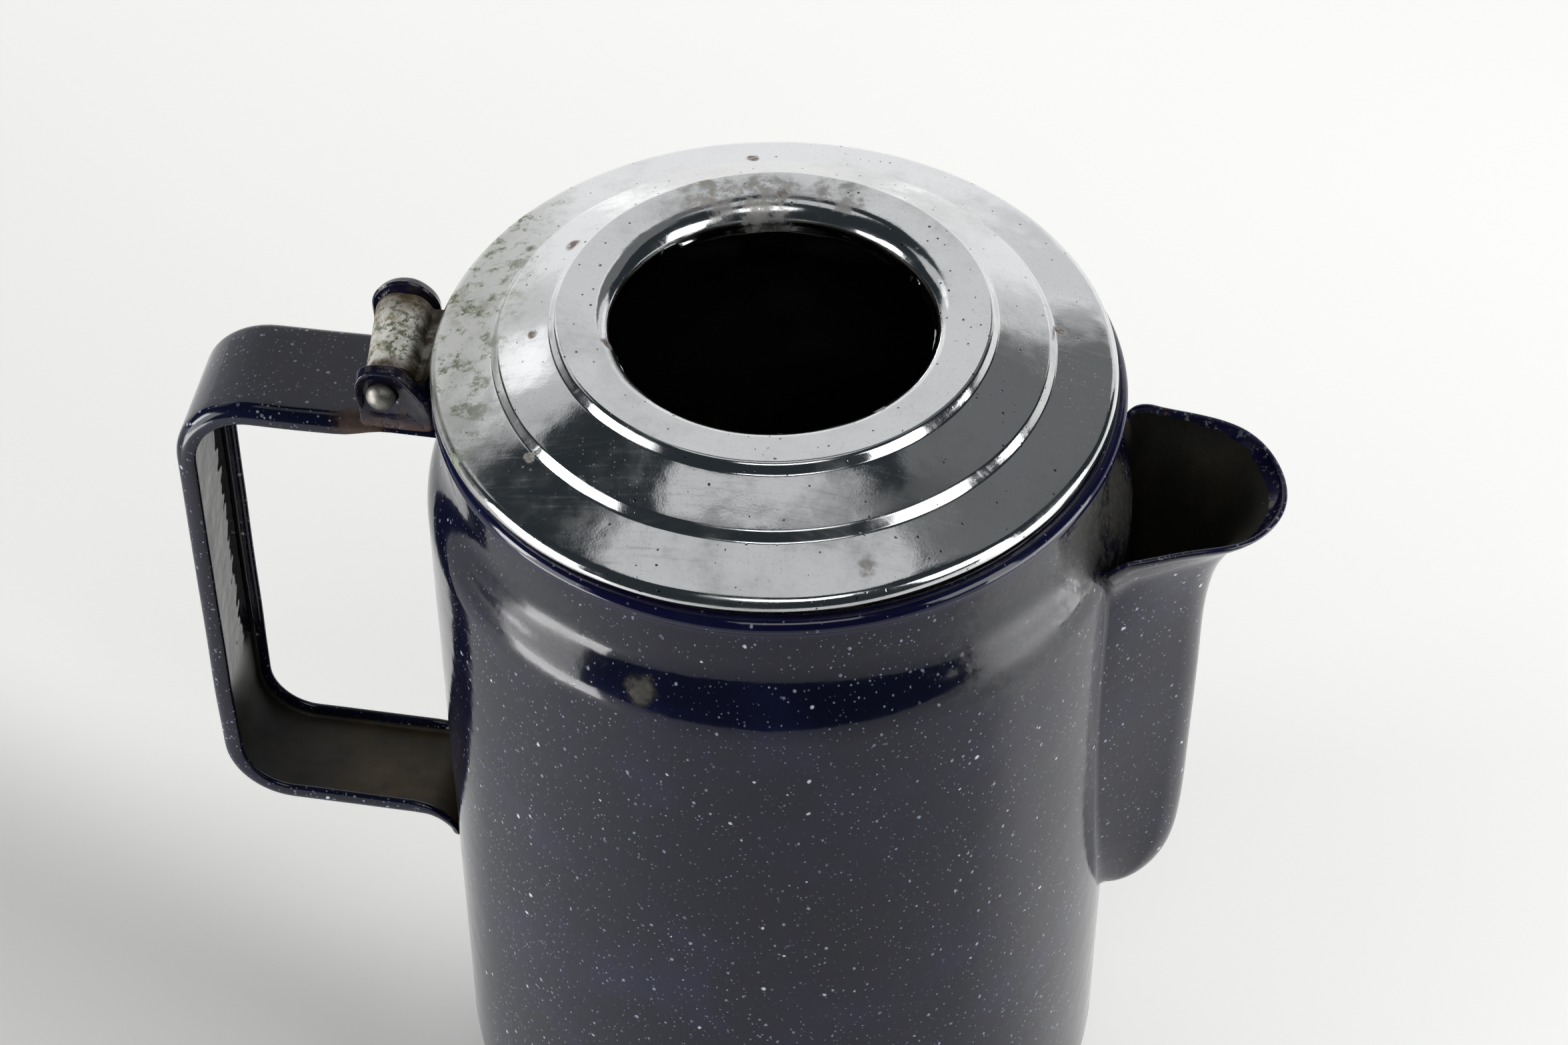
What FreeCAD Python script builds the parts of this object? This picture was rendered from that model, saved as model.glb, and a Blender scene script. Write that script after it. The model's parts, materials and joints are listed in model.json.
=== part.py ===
import FreeCAD, Part
import math
import os
import re
import Sketcher

# Stove-top coffee percolator: an enamelled sheet-steel pot with a trough spout and a strap handle, a hinged
# chromed lid with a round hole for a glass knob, and the aluminium pump, basket and spreader inside.
# Origin: centre of the underside of the pot, on the surface it stands on. +Z up, spout to +X, handle to -X.
# All lengths are in millimetres, all angles in degrees.

DIMENSIONS = {
    # pot shell
    "wall": 1.0,
    "body_radius": 57.0,
    "base_corner": 18.0,
    "shoulder_start": 143.0,
    "shoulder_end": 157.0,
    "neck_radius": 53.3,
    "bead_height": 165.9,
    "bead_centre": 53.2,
    "bead_round": 1.6,
    # opening in the pot wall behind the spout
    "window_low": 70.0,
    "window_high": 128.0,
    "window_low_half": 6.0,
    "window_high_half": 12.0,
    # top edge of the spout, seen from the side
    "mouth_notch": 146.5,
    "mouth_corner": 152.0,
    "mouth_corner_reach": 59.0,
    "mouth_tip": 151.8,
    # strap handle
    "strap_width": 22.0,
    "strap_web": 1.5,
    "strap_depth": 2.8,
    "strap_reach": 98.0,
    "strap_top": 157.8,
    "strap_bottom": 62.3,
    "strap_top_bend": 13.5,
    "strap_bottom_bend": 12.0,
    "foot_start": 61.0,
    "foot_bend": 2.5,
    "foot_drop": 0.3,
    "strap_edge_round": 1.4,
    # lid hinge
    "hinge_reach": 61.9,
    "hinge_height": 164.1,
    "ear_radius": 5.8,
    "ear_gap": 19.2,
    "ear_root": 68.4,
    "pin_radius": 2.0,
    "pin_ear_clearance": 0.02,
    "pin_head_radius": 2.45,
    "pin_head_height": 1.9,
    "knuckle_bore": 2.06,
    "knuckle_radius": 4.3,
    "knuckle_length": 17.0,
    "leaf_sheet": 0.7,
    "leaf_top": 168.4,
    "leaf_tab_low": 161.5,
    "leaf_tab_angle": 19.0,
    "rivet_radius": 0.9,
    "rivet_head_radius": 1.5,
    "rivet_head": 0.5,
    "rivet_seat": 0.03,
    "rivet_height": 164.4,
    "rivet_angle": 6.5,
    # lid
    "lid_offset": 0.85,
    "lid_sheet": 0.6,
    "lid_radius": 54.0,
    "lid_low": 169.2,
    "lid_edge_round": 2.0,
    "lid_edge_height": 171.4,
    "step_one_radius": 44.3,
    "step_one_low": 173.7,
    "step_one_high": 175.2,
    "step_two_radius": 35.2,
    "step_two_low": 178.8,
    "step_two_high": 180.4,
    "step_run": 1.65,
    "hole_radius": 25.1,
    "hole_round": 1.8,
    "hole_round_top": 179.5,
    "hole_edge_low": 174.6,
    # collar inside the lid
    "collar_sheet": 0.7,
    "collar_radius": 49.2,
    "collar_low": 160.0,
    "collar_flange": 53.0,
    # pump
    "pump_foot_gap": 0.25,
    "bell_sheet": 0.9,
    "bell_radius": 27.0,
    "bell_skirt": 5.0,
    "bell_shoulder": 15.0,
    "bell_neck_top": 24.0,
    "bell_inlet_radius": 2.2,
    "stem_radius": 4.75,
    "stem_bore": 3.85,
    "stem_low": 3.4,
    "stem_top": 150.0,
    "stem_lip_radius": 6.2,
    "stem_lip": 0.8,
    "washer_bore": 4.95,
    "washer_radius": 9.5,
    "washer_sheet": 0.8,
    "washer_gap": 0.1,
    "stop_low": 58.0,
    "stop_high": 62.0,
    "stop_radius": 6.8,
    # basket
    "basket_sheet": 0.8,
    "basket_radius": 41.0,
    "basket_low": 64.0,
    "basket_high": 106.0,
    "basket_corner": 4.0,
    "basket_rim_radius": 42.4,
    "sleeve_bore": 4.83,
    "sleeve_radius": 5.6,
    "sleeve_low": 62.3,
    "sleeve_high": 110.0,
    "perforation": 0.9,
    "cover_hole": 8.0,
    "cover_radius": 43.2,
    "cover_skirt": 2.6,
    "cover_gap": 0.3,
}

# Horizontal sections of the spout, bottom to top. Each is a rounded V: height, reach of the nose from the
# pot's axis, radius of the nose, and angle of the two side walls to the X axis.
SPOUT_STATIONS = (
    (56.4, 58.4, 2.6, 4.0),
    (58.0, 61.8, 4.0, 8.0),
    (61.5, 65.0, 5.0, 13.0),
    (67.5, 67.9, 5.6, 20.0),
    (77.0, 69.4, 6.2, 28.0),
    (92.0, 69.8, 7.0, 35.0),
    (115.0, 70.0, 7.6, 39.0),
    (131.0, 70.5, 8.6, 37.0),
    (140.0, 73.0, 10.2, 31.0),
    (147.0, 77.6, 12.2, 25.0),
    (154.0, 82.8, 14.2, 19.0),
)

# Rings of drain holes: distance from the axis and number of holes.
BASKET_RINGS = ((12.0, 10), (20.0, 16), (28.0, 22), (36.0, 28))
COVER_RINGS = ((13.0, 8), (23.0, 14), (33.0, 20))

SHOULDER_BEND = (
    "((body_radius - neck_radius)^2 + (shoulder_end - shoulder_start)^2)"
    " / (4 * (body_radius - neck_radius))"
)
SHOULDER_MIDDLE = "(shoulder_start + shoulder_end) / 2"
LEFT = 1
RIGHT = -1
FULL_TURN = 360

document = FreeCAD.newDocument("percolator")
sheet = document.addObject("Spreadsheet::Sheet", "dims")


def fill_sheet():
    """Write each driving dimension into the sheet under its own name."""
    for row, (name, size) in enumerate(DIMENSIONS.items(), start=1):
        sheet.set(f"A{row}", name)
        sheet.set(f"B{row}", str(size))
        sheet.setAlias(f"B{row}", name)
    document.recompute()


def bound(text):
    """Turn a formula of dimension names into one that points at the sheet's cells."""
    return re.sub(r"[a-z_]+", lambda word: f"dims.{word[0]}" if word[0] in DIMENSIONS else word[0], str(text))


def value(text):
    """The number that a formula of dimension names gives."""
    return float(sheet.evalExpression(bound(text)))


def new_body(name, x="0", y="0", z="0"):
    """A sub-part of its own, with its origin at x, y, z."""
    body = document.addObject("PartDesign::Body", name)
    body.Label = name
    for axis, place in (("x", x), ("y", y), ("z", z)):
        body.setExpression(f"Placement.Base.{axis}", bound(place))
    return body


def new_sketch(body, role, height="0"):
    """A sketch on one of the body's own origin planes, moved along the plane's normal by height."""
    sketch = body.newObject("Sketcher::SketchObject", f"{body.Name}_sketch")
    plane = next(item for item in body.Origin.OriginFeatures if item.Role == role)
    sketch.AttachmentSupport = [(plane, "")]
    sketch.MapMode = "FlatFace"
    if height != "0":
        sketch.setExpression("AttachmentOffset.Base.z", bound(height))
    return sketch


def fix_point(sketch, edge, end, place):
    """Hold one end of an edge at a place given by two formulas."""
    for kind, axis, text in (("DistanceX", -2, place[0]), ("DistanceY", -1, place[1])):
        number = value(text)
        if number == 0:
            sketch.addConstraint(Sketcher.Constraint("PointOnObject", edge, end, axis))
            continue
        index = sketch.addConstraint(Sketcher.Constraint(kind, -1, 1, edge, end, number))
        sketch.setExpression(f"Constraints[{index}]", bound(text))


def arc_through(start, end, radius, turn):
    """The short arc of a radius from start to end, bending left or right."""
    chord = end - start
    rise = math.sqrt(max(radius ** 2 - (chord.Length / 2) ** 2, 0))
    across = FreeCAD.Vector(-chord.y, chord.x, 0).normalize()
    centre = start + chord * 0.5 + across * rise * turn
    first, last = (start, end) if turn == LEFT else (end, start)
    angles = [math.atan2(point.y - centre.y, point.x - centre.x) for point in (first, last)]
    if angles[1] < angles[0]:
        angles[1] += 2 * math.pi
    return Part.ArcOfCircle(Part.Circle(centre, FreeCAD.Vector(0, 0, 1), radius), *angles)


def outline(sketch, points):
    """Draw a closed outline, every point and radius bound to the sheet.

    Each point is two formulas. A point whose edge to the next one is an arc has two more entries: the
    formula of the arc's radius, and the side to which it bends.
    """
    places = [FreeCAD.Vector(value(point[0]), value(point[1]), 0) for point in points]
    starts = []
    ends = []
    for index, point in enumerate(points):
        here = places[index]
        there = places[(index + 1) % len(points)]
        if len(point) == 2:
            edge = sketch.addGeometry(Part.LineSegment(here, there))
            starts.append((edge, 1))
            ends.append((edge, 2))
            continue
        edge = sketch.addGeometry(arc_through(here, there, value(point[2]), point[3]))
        starts.append((edge, 1 if point[3] == LEFT else 2))
        ends.append((edge, 2 if point[3] == LEFT else 1))
        radius = sketch.addConstraint(Sketcher.Constraint("Radius", edge, value(point[2])))
        sketch.setExpression(f"Constraints[{radius}]", bound(point[2]))
    for index, point in enumerate(points):
        sketch.addConstraint(Sketcher.Constraint("Coincident", *ends[index - 1], *starts[index]))
        fix_point(sketch, *starts[index], point)


def circle(sketch, x, y, radius):
    """Draw a circle, bound to the sheet."""
    centre = FreeCAD.Vector(value(x), value(y), 0)
    edge = sketch.addGeometry(Part.Circle(centre, FreeCAD.Vector(0, 0, 1), value(radius)))
    index = sketch.addConstraint(Sketcher.Constraint("Radius", edge, value(radius)))
    sketch.setExpression(f"Constraints[{index}]", bound(radius))
    fix_point(sketch, edge, 3, (x, y))


def turned(body, points, kind="Revolution", angle=FULL_TURN):
    """Add (Revolution) or cut (Groove) the outline turned about the body's Z axis."""
    sketch = new_sketch(body, "XZ_Plane")
    outline(sketch, points)
    feature = body.newObject(f"PartDesign::{kind}", f"{body.Name}_{kind.lower()}")
    feature.Profile = sketch
    feature.ReferenceAxis = (sketch, ["V_Axis"])
    feature.Midplane = angle != FULL_TURN
    if angle == FULL_TURN:
        feature.Angle = FULL_TURN
    else:
        feature.setExpression("Angle", bound(angle))
    return feature


def extruded(body, draw, width, kind="Pad", role="XZ_Plane", both_ways=True):
    """Add (Pad) or cut (Pocket) what draw puts in a sketch, to a width given by a formula.

    A cut that goes one way only goes along the plane's normal.
    """
    sketch = new_sketch(body, role)
    draw(sketch)
    feature = body.newObject(f"PartDesign::{kind}", f"{body.Name}_{kind.lower()}")
    feature.Profile = sketch
    feature.Midplane = both_ways
    feature.Reversed = kind == "Pocket" and not both_ways
    feature.setExpression("Length", bound(width))
    return feature


def repeated(body, feature, count):
    """Repeat a feature evenly about the body's Z axis."""
    pattern = body.newObject("PartDesign::PolarPattern", f"{feature.Name}_ring")
    pattern.Originals = [feature]
    axis = next(item for item in body.Origin.OriginFeatures if item.Role == "Z_Axis")
    pattern.Axis = (axis, [""])
    pattern.Angle = FULL_TURN
    pattern.Occurrences = count
    body.Tip = pattern
    return pattern


def perforated(body, rings):
    """Drill rings of small drain holes straight down through the body."""
    for distance, count in rings:
        drill = extruded(
            body, lambda sketch: circle(sketch, distance, 0, "perforation"), "2 * stem_top",
            "Pocket", "XY_Plane"
        )
        document.recompute()
        repeated(body, drill, count)


def pot_outside():
    """The pot's outer surface as a solid of revolution, to shape what is welded to it."""
    return (
        ("0", "-wall"),
        ("body_radius", "-wall"),
        ("body_radius", "shoulder_start", SHOULDER_BEND, LEFT),
        ("(body_radius + neck_radius) / 2", SHOULDER_MIDDLE, SHOULDER_BEND, RIGHT),
        ("neck_radius", "shoulder_end"),
        ("neck_radius", "lid_low"),
        ("0", "lid_low"),
    )


def make_pot_body():
    """One drawn shell: flat base, straight wall, shoulder, neck, rolled bead, and a window to the spout."""
    body = new_body("pot_body")
    inner = "(body_radius - wall)"
    neck_inner = "(neck_radius - wall)"
    bead_outer_foot = "bead_height - sqrt(bead_round^2 - (neck_radius - bead_centre)^2)"
    bead_inner_foot = f"bead_height - sqrt(bead_round^2 - (bead_centre - {neck_inner})^2)"
    turned(body, (
        ("0", "0"),
        ("body_radius - base_corner", "0", "base_corner", LEFT),
        ("body_radius", "base_corner"),
        ("body_radius", "shoulder_start", SHOULDER_BEND, LEFT),
        ("(body_radius + neck_radius) / 2", SHOULDER_MIDDLE, SHOULDER_BEND, RIGHT),
        ("neck_radius", "shoulder_end"),
        ("neck_radius", bead_outer_foot, "bead_round", LEFT),
        ("bead_centre + bead_round", "bead_height", "bead_round", LEFT),
        ("bead_centre", "bead_height + bead_round", "bead_round", LEFT),
        ("bead_centre - bead_round", "bead_height", "bead_round", LEFT),
        (neck_inner, bead_inner_foot),
        (neck_inner, "shoulder_end", SHOULDER_BEND, LEFT),
        ("(body_radius + neck_radius) / 2 - wall", SHOULDER_MIDDLE, SHOULDER_BEND, RIGHT),
        (inner, "shoulder_start"),
        (inner, "base_corner", "base_corner - wall", RIGHT),
        ("body_radius - base_corner", "wall"),
        ("0", "wall"),
    ))
    window = (
        ("-window_low_half", "window_low", "window_low_half * 1.01", LEFT),
        ("window_low_half", "window_low"),
        ("window_high_half", "window_high"),
        ("-window_high_half", "window_high"),
    )
    extruded(body, lambda sketch: outline(sketch, window), "2 * body_radius", "Pocket", "YZ_Plane", False)
    return body


def spout_section(body, station, inset, lift):
    """One rounded-V section of the spout, moved in by inset and up by lift."""
    height, nose, radius, angle = station
    sketch = new_sketch(body, "XY_Plane", f"{height} + {lift}")
    root = "(body_radius - 9)"
    centre = nose - radius
    round_nose = f"({radius} - {inset})"
    tangent_x = f"({centre} + {round_nose} * sin({angle}))"
    tangent_y = f"({round_nose} * cos({angle}))"
    root_y = f"({tangent_y} + ({tangent_x} - {root}) * tan({angle}))"
    outline(sketch, (
        (root, f"-{root_y}"),
        (tangent_x, f"-{tangent_y}", round_nose, LEFT),
        (f"{centre} + {round_nose}", "0", round_nose, LEFT),
        (tangent_x, tangent_y),
        (root, root_y),
    ))
    return sketch


def make_spout():
    """A folded sheet trough of rounded-V section, closed at the bottom, open at the top and to the pot."""
    body = new_body("spout")
    for kind, inset, lift in (("AdditiveLoft", "0", "0"), ("SubtractiveLoft", "wall", "wall")):
        sections = [spout_section(body, station, inset, lift) for station in SPOUT_STATIONS]
        loft = body.newObject(f"PartDesign::{kind}", f"spout_{kind.lower()}")
        loft.Profile = sections[0]
        loft.Sections = sections[1:]
        document.recompute()
    turned(body, pot_outside(), "Groove")
    above = "(mouth_tip + 20)"
    top_edge = (
        ("body_radius - 9", "mouth_notch"),
        ("body_radius - 4", "mouth_notch", "mouth_corner - mouth_notch", RIGHT),
        ("mouth_corner_reach", "mouth_corner"),
        ("body_radius + 40", "mouth_tip - 0.6"),
        ("body_radius + 40", above),
        ("body_radius - 9", above),
    )
    extruded(body, lambda sketch: outline(sketch, top_edge), "2 * body_radius", "Pocket")
    return body


def strap_band(near, far, end):
    """Side view of the strap between two depths under its outer face, from the neck round to the foot."""
    return (
        ("-body_radius + 9", f"strap_top - {near}"),
        ("-strap_reach + strap_top_bend", f"strap_top - {near}", f"strap_top_bend - {near}", LEFT),
        (f"-strap_reach + {near}", "strap_top - strap_top_bend"),
        (f"-strap_reach + {near}", "strap_bottom + strap_bottom_bend", f"strap_bottom_bend - {near}", LEFT),
        ("-strap_reach + strap_bottom_bend", f"strap_bottom + {near}"),
        *end,
        ("-strap_reach + strap_bottom_bend", f"strap_bottom + {far}", f"strap_bottom_bend - {far}", RIGHT),
        (f"-strap_reach + {far}", "strap_bottom + strap_bottom_bend"),
        (f"-strap_reach + {far}", "strap_top - strap_top_bend", f"strap_top_bend - {far}", RIGHT),
        ("-strap_reach + strap_top_bend", f"strap_top - {far}"),
        ("-body_radius + 9", f"strap_top - {far}"),
    )


def outer_corner_edges(shape):
    """Names of the strap's long edges that a hand feels: those on its outer outline at both sides."""
    half = value("strap_width / 2")
    names = []
    for index, edge in enumerate(shape.Edges, start=1):
        box = edge.BoundBox
        at_side = box.YLength < 0.01 and abs(abs(box.YMin) - half) < 0.01
        on_top = box.ZMin > value("strap_top") - 0.01 and box.XLength > 5
        on_back = box.XMin < value("-strap_reach") + 0.01
        on_bottom = box.ZMax < value("strap_bottom") + 0.01 and box.XLength > 2
        if at_side and (on_top or on_back or on_bottom):
            names.append(f"Edge{index}")
    return names


def make_handle_strap():
    """A channel-section strap bent to a U, its flanges turned up into two ears for the lid hinge."""
    body = new_body("handle_strap")
    foot = (
        ("-foot_start", "strap_bottom", "foot_bend", RIGHT),
        ("-foot_start + foot_bend", "strap_bottom - foot_bend"),
        ("-foot_start + foot_bend", "strap_bottom - foot_bend - foot_drop"),
        ("-body_radius + 9", "strap_bottom - foot_bend - foot_drop"),
        ("-body_radius + 9", "strap_bottom + strap_depth"),
    )
    band = strap_band("0", "strap_depth", foot)
    strap = extruded(body, lambda sketch: outline(sketch, band), "strap_width")
    document.recompute()
    rounding = body.newObject("PartDesign::Fillet", "handle_strap_rounding")
    rounding.Base = (strap, outer_corner_edges(strap.Shape))
    rounding.setExpression("Radius", bound("strap_edge_round"))
    document.recompute()
    channel_end = (
        ("-foot_start + 2", "strap_bottom + strap_web"),
        ("-foot_start + 2", "strap_bottom + 2 * strap_depth"),
    )
    channel = strap_band("strap_web", "2 * strap_depth", channel_end)
    extruded(body, lambda sketch: outline(sketch, channel), "strap_width - 2 * strap_web", "Pocket")
    document.recompute()
    ear = (
        ("-hinge_reach + ear_radius", "strap_top - strap_web / 2"),
        ("-hinge_reach + ear_radius", "hinge_height", "ear_radius", LEFT),
        ("-hinge_reach", "hinge_height + ear_radius", "ear_radius", LEFT),
        ("-hinge_reach - ear_radius", "hinge_height"),
        ("-ear_root", "strap_top - strap_web / 2"),
    )
    extruded(body, lambda sketch: outline(sketch, ear), "strap_width")
    document.recompute()
    slot = (
        ("-body_radius + 9", "strap_top"),
        ("-body_radius + 9", "hinge_height + 2 * ear_radius"),
        ("-ear_root - ear_radius", "hinge_height + 2 * ear_radius"),
        ("-ear_root - ear_radius", "strap_top"),
    )
    extruded(body, lambda sketch: outline(sketch, slot), "ear_gap", "Pocket")
    bore = "pin_radius + pin_ear_clearance"
    extruded(
        body, lambda sketch: circle(sketch, "-hinge_reach", "hinge_height", bore), "2 * strap_width", "Pocket"
    )
    document.recompute()
    turned(body, pot_outside(), "Groove")
    return body


def make_hinge_pin():
    """A plain pin with a domed head at each end, lying along Y through both ears and the knuckle."""
    body = new_body("hinge_pin", "-hinge_reach", "0", "hinge_height")
    body.Placement.Rotation = FreeCAD.Rotation(FreeCAD.Vector(1, 0, 0), -90)
    face = "(strap_width / 2 + pin_ear_clearance)"
    dome = "(pin_head_radius^2 + pin_head_height^2) / (2 * pin_head_height)"
    turned(body, (
        ("0", f"-{face} - pin_head_height", dome, LEFT),
        ("pin_head_radius", f"-{face}"),
        ("pin_radius", f"-{face}"),
        ("pin_radius", face),
        ("pin_head_radius", face, dome, LEFT),
        ("0", f"{face} + pin_head_height"),
    ))
    return body


def step(radius, low, high, side):
    """The rounded riser between two rings of the lid, drawn from its foot towards the axis."""
    bend = f"((step_run)^2 + ({high} - {low})^2) / (4 * ({high} - {low}))"
    middle = (f"{radius} - step_run / 2", f"({low} + {high}) / 2")
    if side == "outer":
        return (
            (radius, low, bend, RIGHT),
            (*middle, bend, LEFT),
            (f"{radius} - step_run", high),
        )
    thin = "lid_sheet"
    return (
        (f"{radius} - step_run - {thin}", f"{high} - {thin}", bend, RIGHT),
        (f"{middle[0]} - {thin}", f"{middle[1]} - {thin}", bend, LEFT),
        (f"{radius} - {thin}", f"{low} - {thin}"),
    )


def make_lid_shell():
    """A pressed cap: turned-under edge, three rising rings, and a round hole with its edge rolled down."""
    body = new_body("lid_shell", "-lid_offset")
    hem = "(lid_radius - 3 * lid_sheet)"
    hem_top = "(lid_low + lid_sheet)"
    edge_centre = "(lid_radius - lid_edge_round)"
    edge_inside = "(lid_edge_round - lid_sheet)"
    edge_rise = f"({hem_top} - lid_edge_height + lid_edge_round)"
    turned(body, (
        (hem, "lid_low"),
        ("lid_radius", "lid_low"),
        ("lid_radius", "lid_edge_height - lid_edge_round", "lid_edge_round", LEFT),
        ("lid_radius - lid_edge_round", "lid_edge_height"),
        *step("step_one_radius", "step_one_low", "step_one_high", "outer"),
        *step("step_two_radius", "step_two_low", "step_two_high", "outer"),
        ("hole_radius + hole_round", "hole_round_top", "hole_round", LEFT),
        ("hole_radius", "hole_round_top - hole_round"),
        ("hole_radius", "hole_edge_low"),
        ("hole_radius + lid_sheet", "hole_edge_low"),
        ("hole_radius + lid_sheet", "hole_round_top - hole_round", "hole_round - lid_sheet", RIGHT),
        ("hole_radius + hole_round", "hole_round_top - lid_sheet"),
        *step("step_two_radius", "step_two_low", "step_two_high", "inner"),
        *step("step_one_radius", "step_one_low", "step_one_high", "inner"),
        (edge_centre, "lid_edge_height - lid_sheet", edge_inside, RIGHT),
        (f"{edge_centre} + sqrt({edge_inside}^2 - {edge_rise}^2)", hem_top),
        (hem, hem_top),
    ))
    return body


def make_lid_collar():
    """A ring of L section under the lid: it drops inside the neck and keeps the lid on centre."""
    body = new_body("lid_collar", "-lid_offset")
    turned(body, (
        ("collar_radius - collar_sheet", "collar_low"),
        ("collar_radius", "collar_low"),
        ("collar_radius", "lid_low - collar_sheet"),
        ("collar_flange", "lid_low - collar_sheet"),
        ("collar_flange", "lid_low"),
        ("collar_radius - collar_sheet", "lid_low"),
    ))
    return body


def make_lid_hinge_leaf():
    """A strip rolled round the pin into a knuckle, running under the lid and down the collar's outside."""
    body = new_body("lid_hinge_leaf", "-lid_offset")
    pin_x = "(lid_offset - hinge_reach)"

    def knuckle(sketch):
        circle(sketch, pin_x, "hinge_height", "knuckle_radius")
        circle(sketch, pin_x, "hinge_height", "knuckle_bore")

    extruded(body, knuckle, "knuckle_length")
    document.recompute()
    strip = (
        (pin_x, "leaf_top - leaf_sheet"),
        ("-collar_radius", "leaf_top - leaf_sheet"),
        ("-collar_radius", "leaf_top"),
        (pin_x, "leaf_top"),
    )
    extruded(body, lambda sketch: outline(sketch, strip), "knuckle_length")
    document.recompute()
    turned(body, (
        ("-collar_radius - leaf_sheet", "leaf_tab_low"),
        ("-collar_radius", "leaf_tab_low"),
        ("-collar_radius", "leaf_top"),
        ("-collar_radius - leaf_sheet", "leaf_top"),
    ), angle="leaf_tab_angle")
    turned(body, (
        ("0", "leaf_tab_low"),
        ("collar_radius", "leaf_tab_low"),
        ("collar_radius", "leaf_top"),
        ("0", "leaf_top"),
    ), "Groove")
    return body


def make_leaf_rivets():
    """Two small rivets that hold the hinge leaf to the collar."""
    inside = "(collar_radius - collar_sheet - rivet_seat)"
    outside = "(collar_radius + leaf_sheet)"
    rivets = []
    for name, side in (("rivet_left", -1), ("rivet_right", 1)):
        rivet = document.addObject("Part::Feature", name)
        shank = Part.makeCylinder(value("rivet_radius"), value(f"{outside} - {inside}"))
        shank.translate(FreeCAD.Vector(0, 0, value(inside)))
        heads = []
        for low in (f"{inside} - rivet_head", outside):
            head = Part.makeCylinder(value("rivet_head_radius"), value("rivet_head"))
            head.translate(FreeCAD.Vector(0, 0, value(low)))
            heads.append(head)
        rivet.Shape = shank.multiFuse(heads).removeSplitter()
        turn = FreeCAD.Rotation(FreeCAD.Vector(0, 0, 1), 180 + side * value("rivet_angle"))
        lay_down = FreeCAD.Rotation(FreeCAD.Vector(0, 1, 0), 90)
        place = FreeCAD.Vector(value("-lid_offset"), 0, value("rivet_height"))
        rivet.Placement = FreeCAD.Placement(place, turn.multiply(lay_down))
        rivets.append(rivet)
    pair = document.addObject("Part::Compound", "leaf_rivets")
    pair.Links = rivets
    pair.Label = "leaf_rivets"
    return pair


def drill_leaf(piece, name):
    """A copy of the piece with holes for the two rivet shanks."""
    cut = document.addObject("Part::Cut", f"{name}_drilled")
    drills = []
    for side in (-1, 1):
        drill = document.addObject("Part::Cylinder", f"{name}_drill")
        drill.setExpression("Radius", bound("rivet_radius"))
        drill.setExpression("Height", bound("body_radius"))
        turn = FreeCAD.Rotation(FreeCAD.Vector(0, 0, 1), 180 + side * value("rivet_angle"))
        lay_down = FreeCAD.Rotation(FreeCAD.Vector(0, 1, 0), 90)
        place = FreeCAD.Vector(value("-lid_offset"), 0, value("rivet_height"))
        drill.Placement = FreeCAD.Placement(place, turn.multiply(lay_down))
        drills.append(drill)
    pair = document.addObject("Part::Compound", f"{name}_drills")
    pair.Links = drills
    cut.Base = piece
    cut.Tool = pair
    piece.Label = f"{name}_blank"
    cut.Label = name
    return cut


def make_pump_stem():
    """The riser tube, its lower end spun out into a lip that keeps the valve washer on."""
    body = new_body("pump_stem")
    turned(body, (
        ("stem_bore", "stem_low"),
        ("stem_lip_radius", "stem_low"),
        ("stem_lip_radius", "stem_low + stem_lip"),
        ("stem_radius", "stem_low + stem_lip"),
        ("stem_radius", "stem_top"),
        ("stem_bore", "stem_top"),
    ))
    return body


def make_pump_base():
    """The bell that stands on the pot's floor, traps the steam, and holds the stem in its neck."""
    body = new_body("pump_base")
    low = "(wall + pump_foot_gap)"
    turned(body, (
        ("bell_radius - bell_sheet", low),
        ("bell_radius", low),
        ("bell_radius", "bell_skirt"),
        ("stem_radius + 4 * bell_sheet", "bell_shoulder"),
        ("stem_radius + bell_sheet", "bell_shoulder + bell_sheet"),
        ("stem_radius + bell_sheet", "bell_neck_top"),
        ("stem_radius", "bell_neck_top"),
        ("stem_radius", "bell_shoulder - bell_sheet"),
        ("stem_radius + 3 * bell_sheet", "bell_shoulder - bell_sheet"),
        ("bell_radius - bell_sheet", "bell_skirt - bell_sheet / 2"),
    ))
    document.recompute()
    inlet = extruded(
        body, lambda sketch: circle(sketch, 0, low, "bell_inlet_radius"), "bell_radius + 1",
        "Pocket", "YZ_Plane", False
    )
    document.recompute()
    repeated(body, inlet, 4)
    return body


def make_valve_washer():
    """The loose washer that lets water into the bell and closes as the steam rises."""
    body = new_body("valve_washer")
    low = "(stem_low + stem_lip + washer_gap)"
    turned(body, (
        ("washer_bore", low),
        ("washer_radius", low),
        ("washer_radius", f"{low} + washer_sheet"),
        ("washer_bore", f"{low} + washer_sheet"),
    ))
    return body


def make_basket_stop():
    """The collar on the stem that the basket hangs on."""
    body = new_body("basket_stop")
    turned(body, (
        ("stem_radius", "stop_low"),
        ("stem_radius + basket_sheet", "stop_low"),
        ("stop_radius", "stop_high - basket_sheet"),
        ("stop_radius", "stop_high"),
        ("stem_radius", "stop_high"),
    ))
    return body


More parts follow.
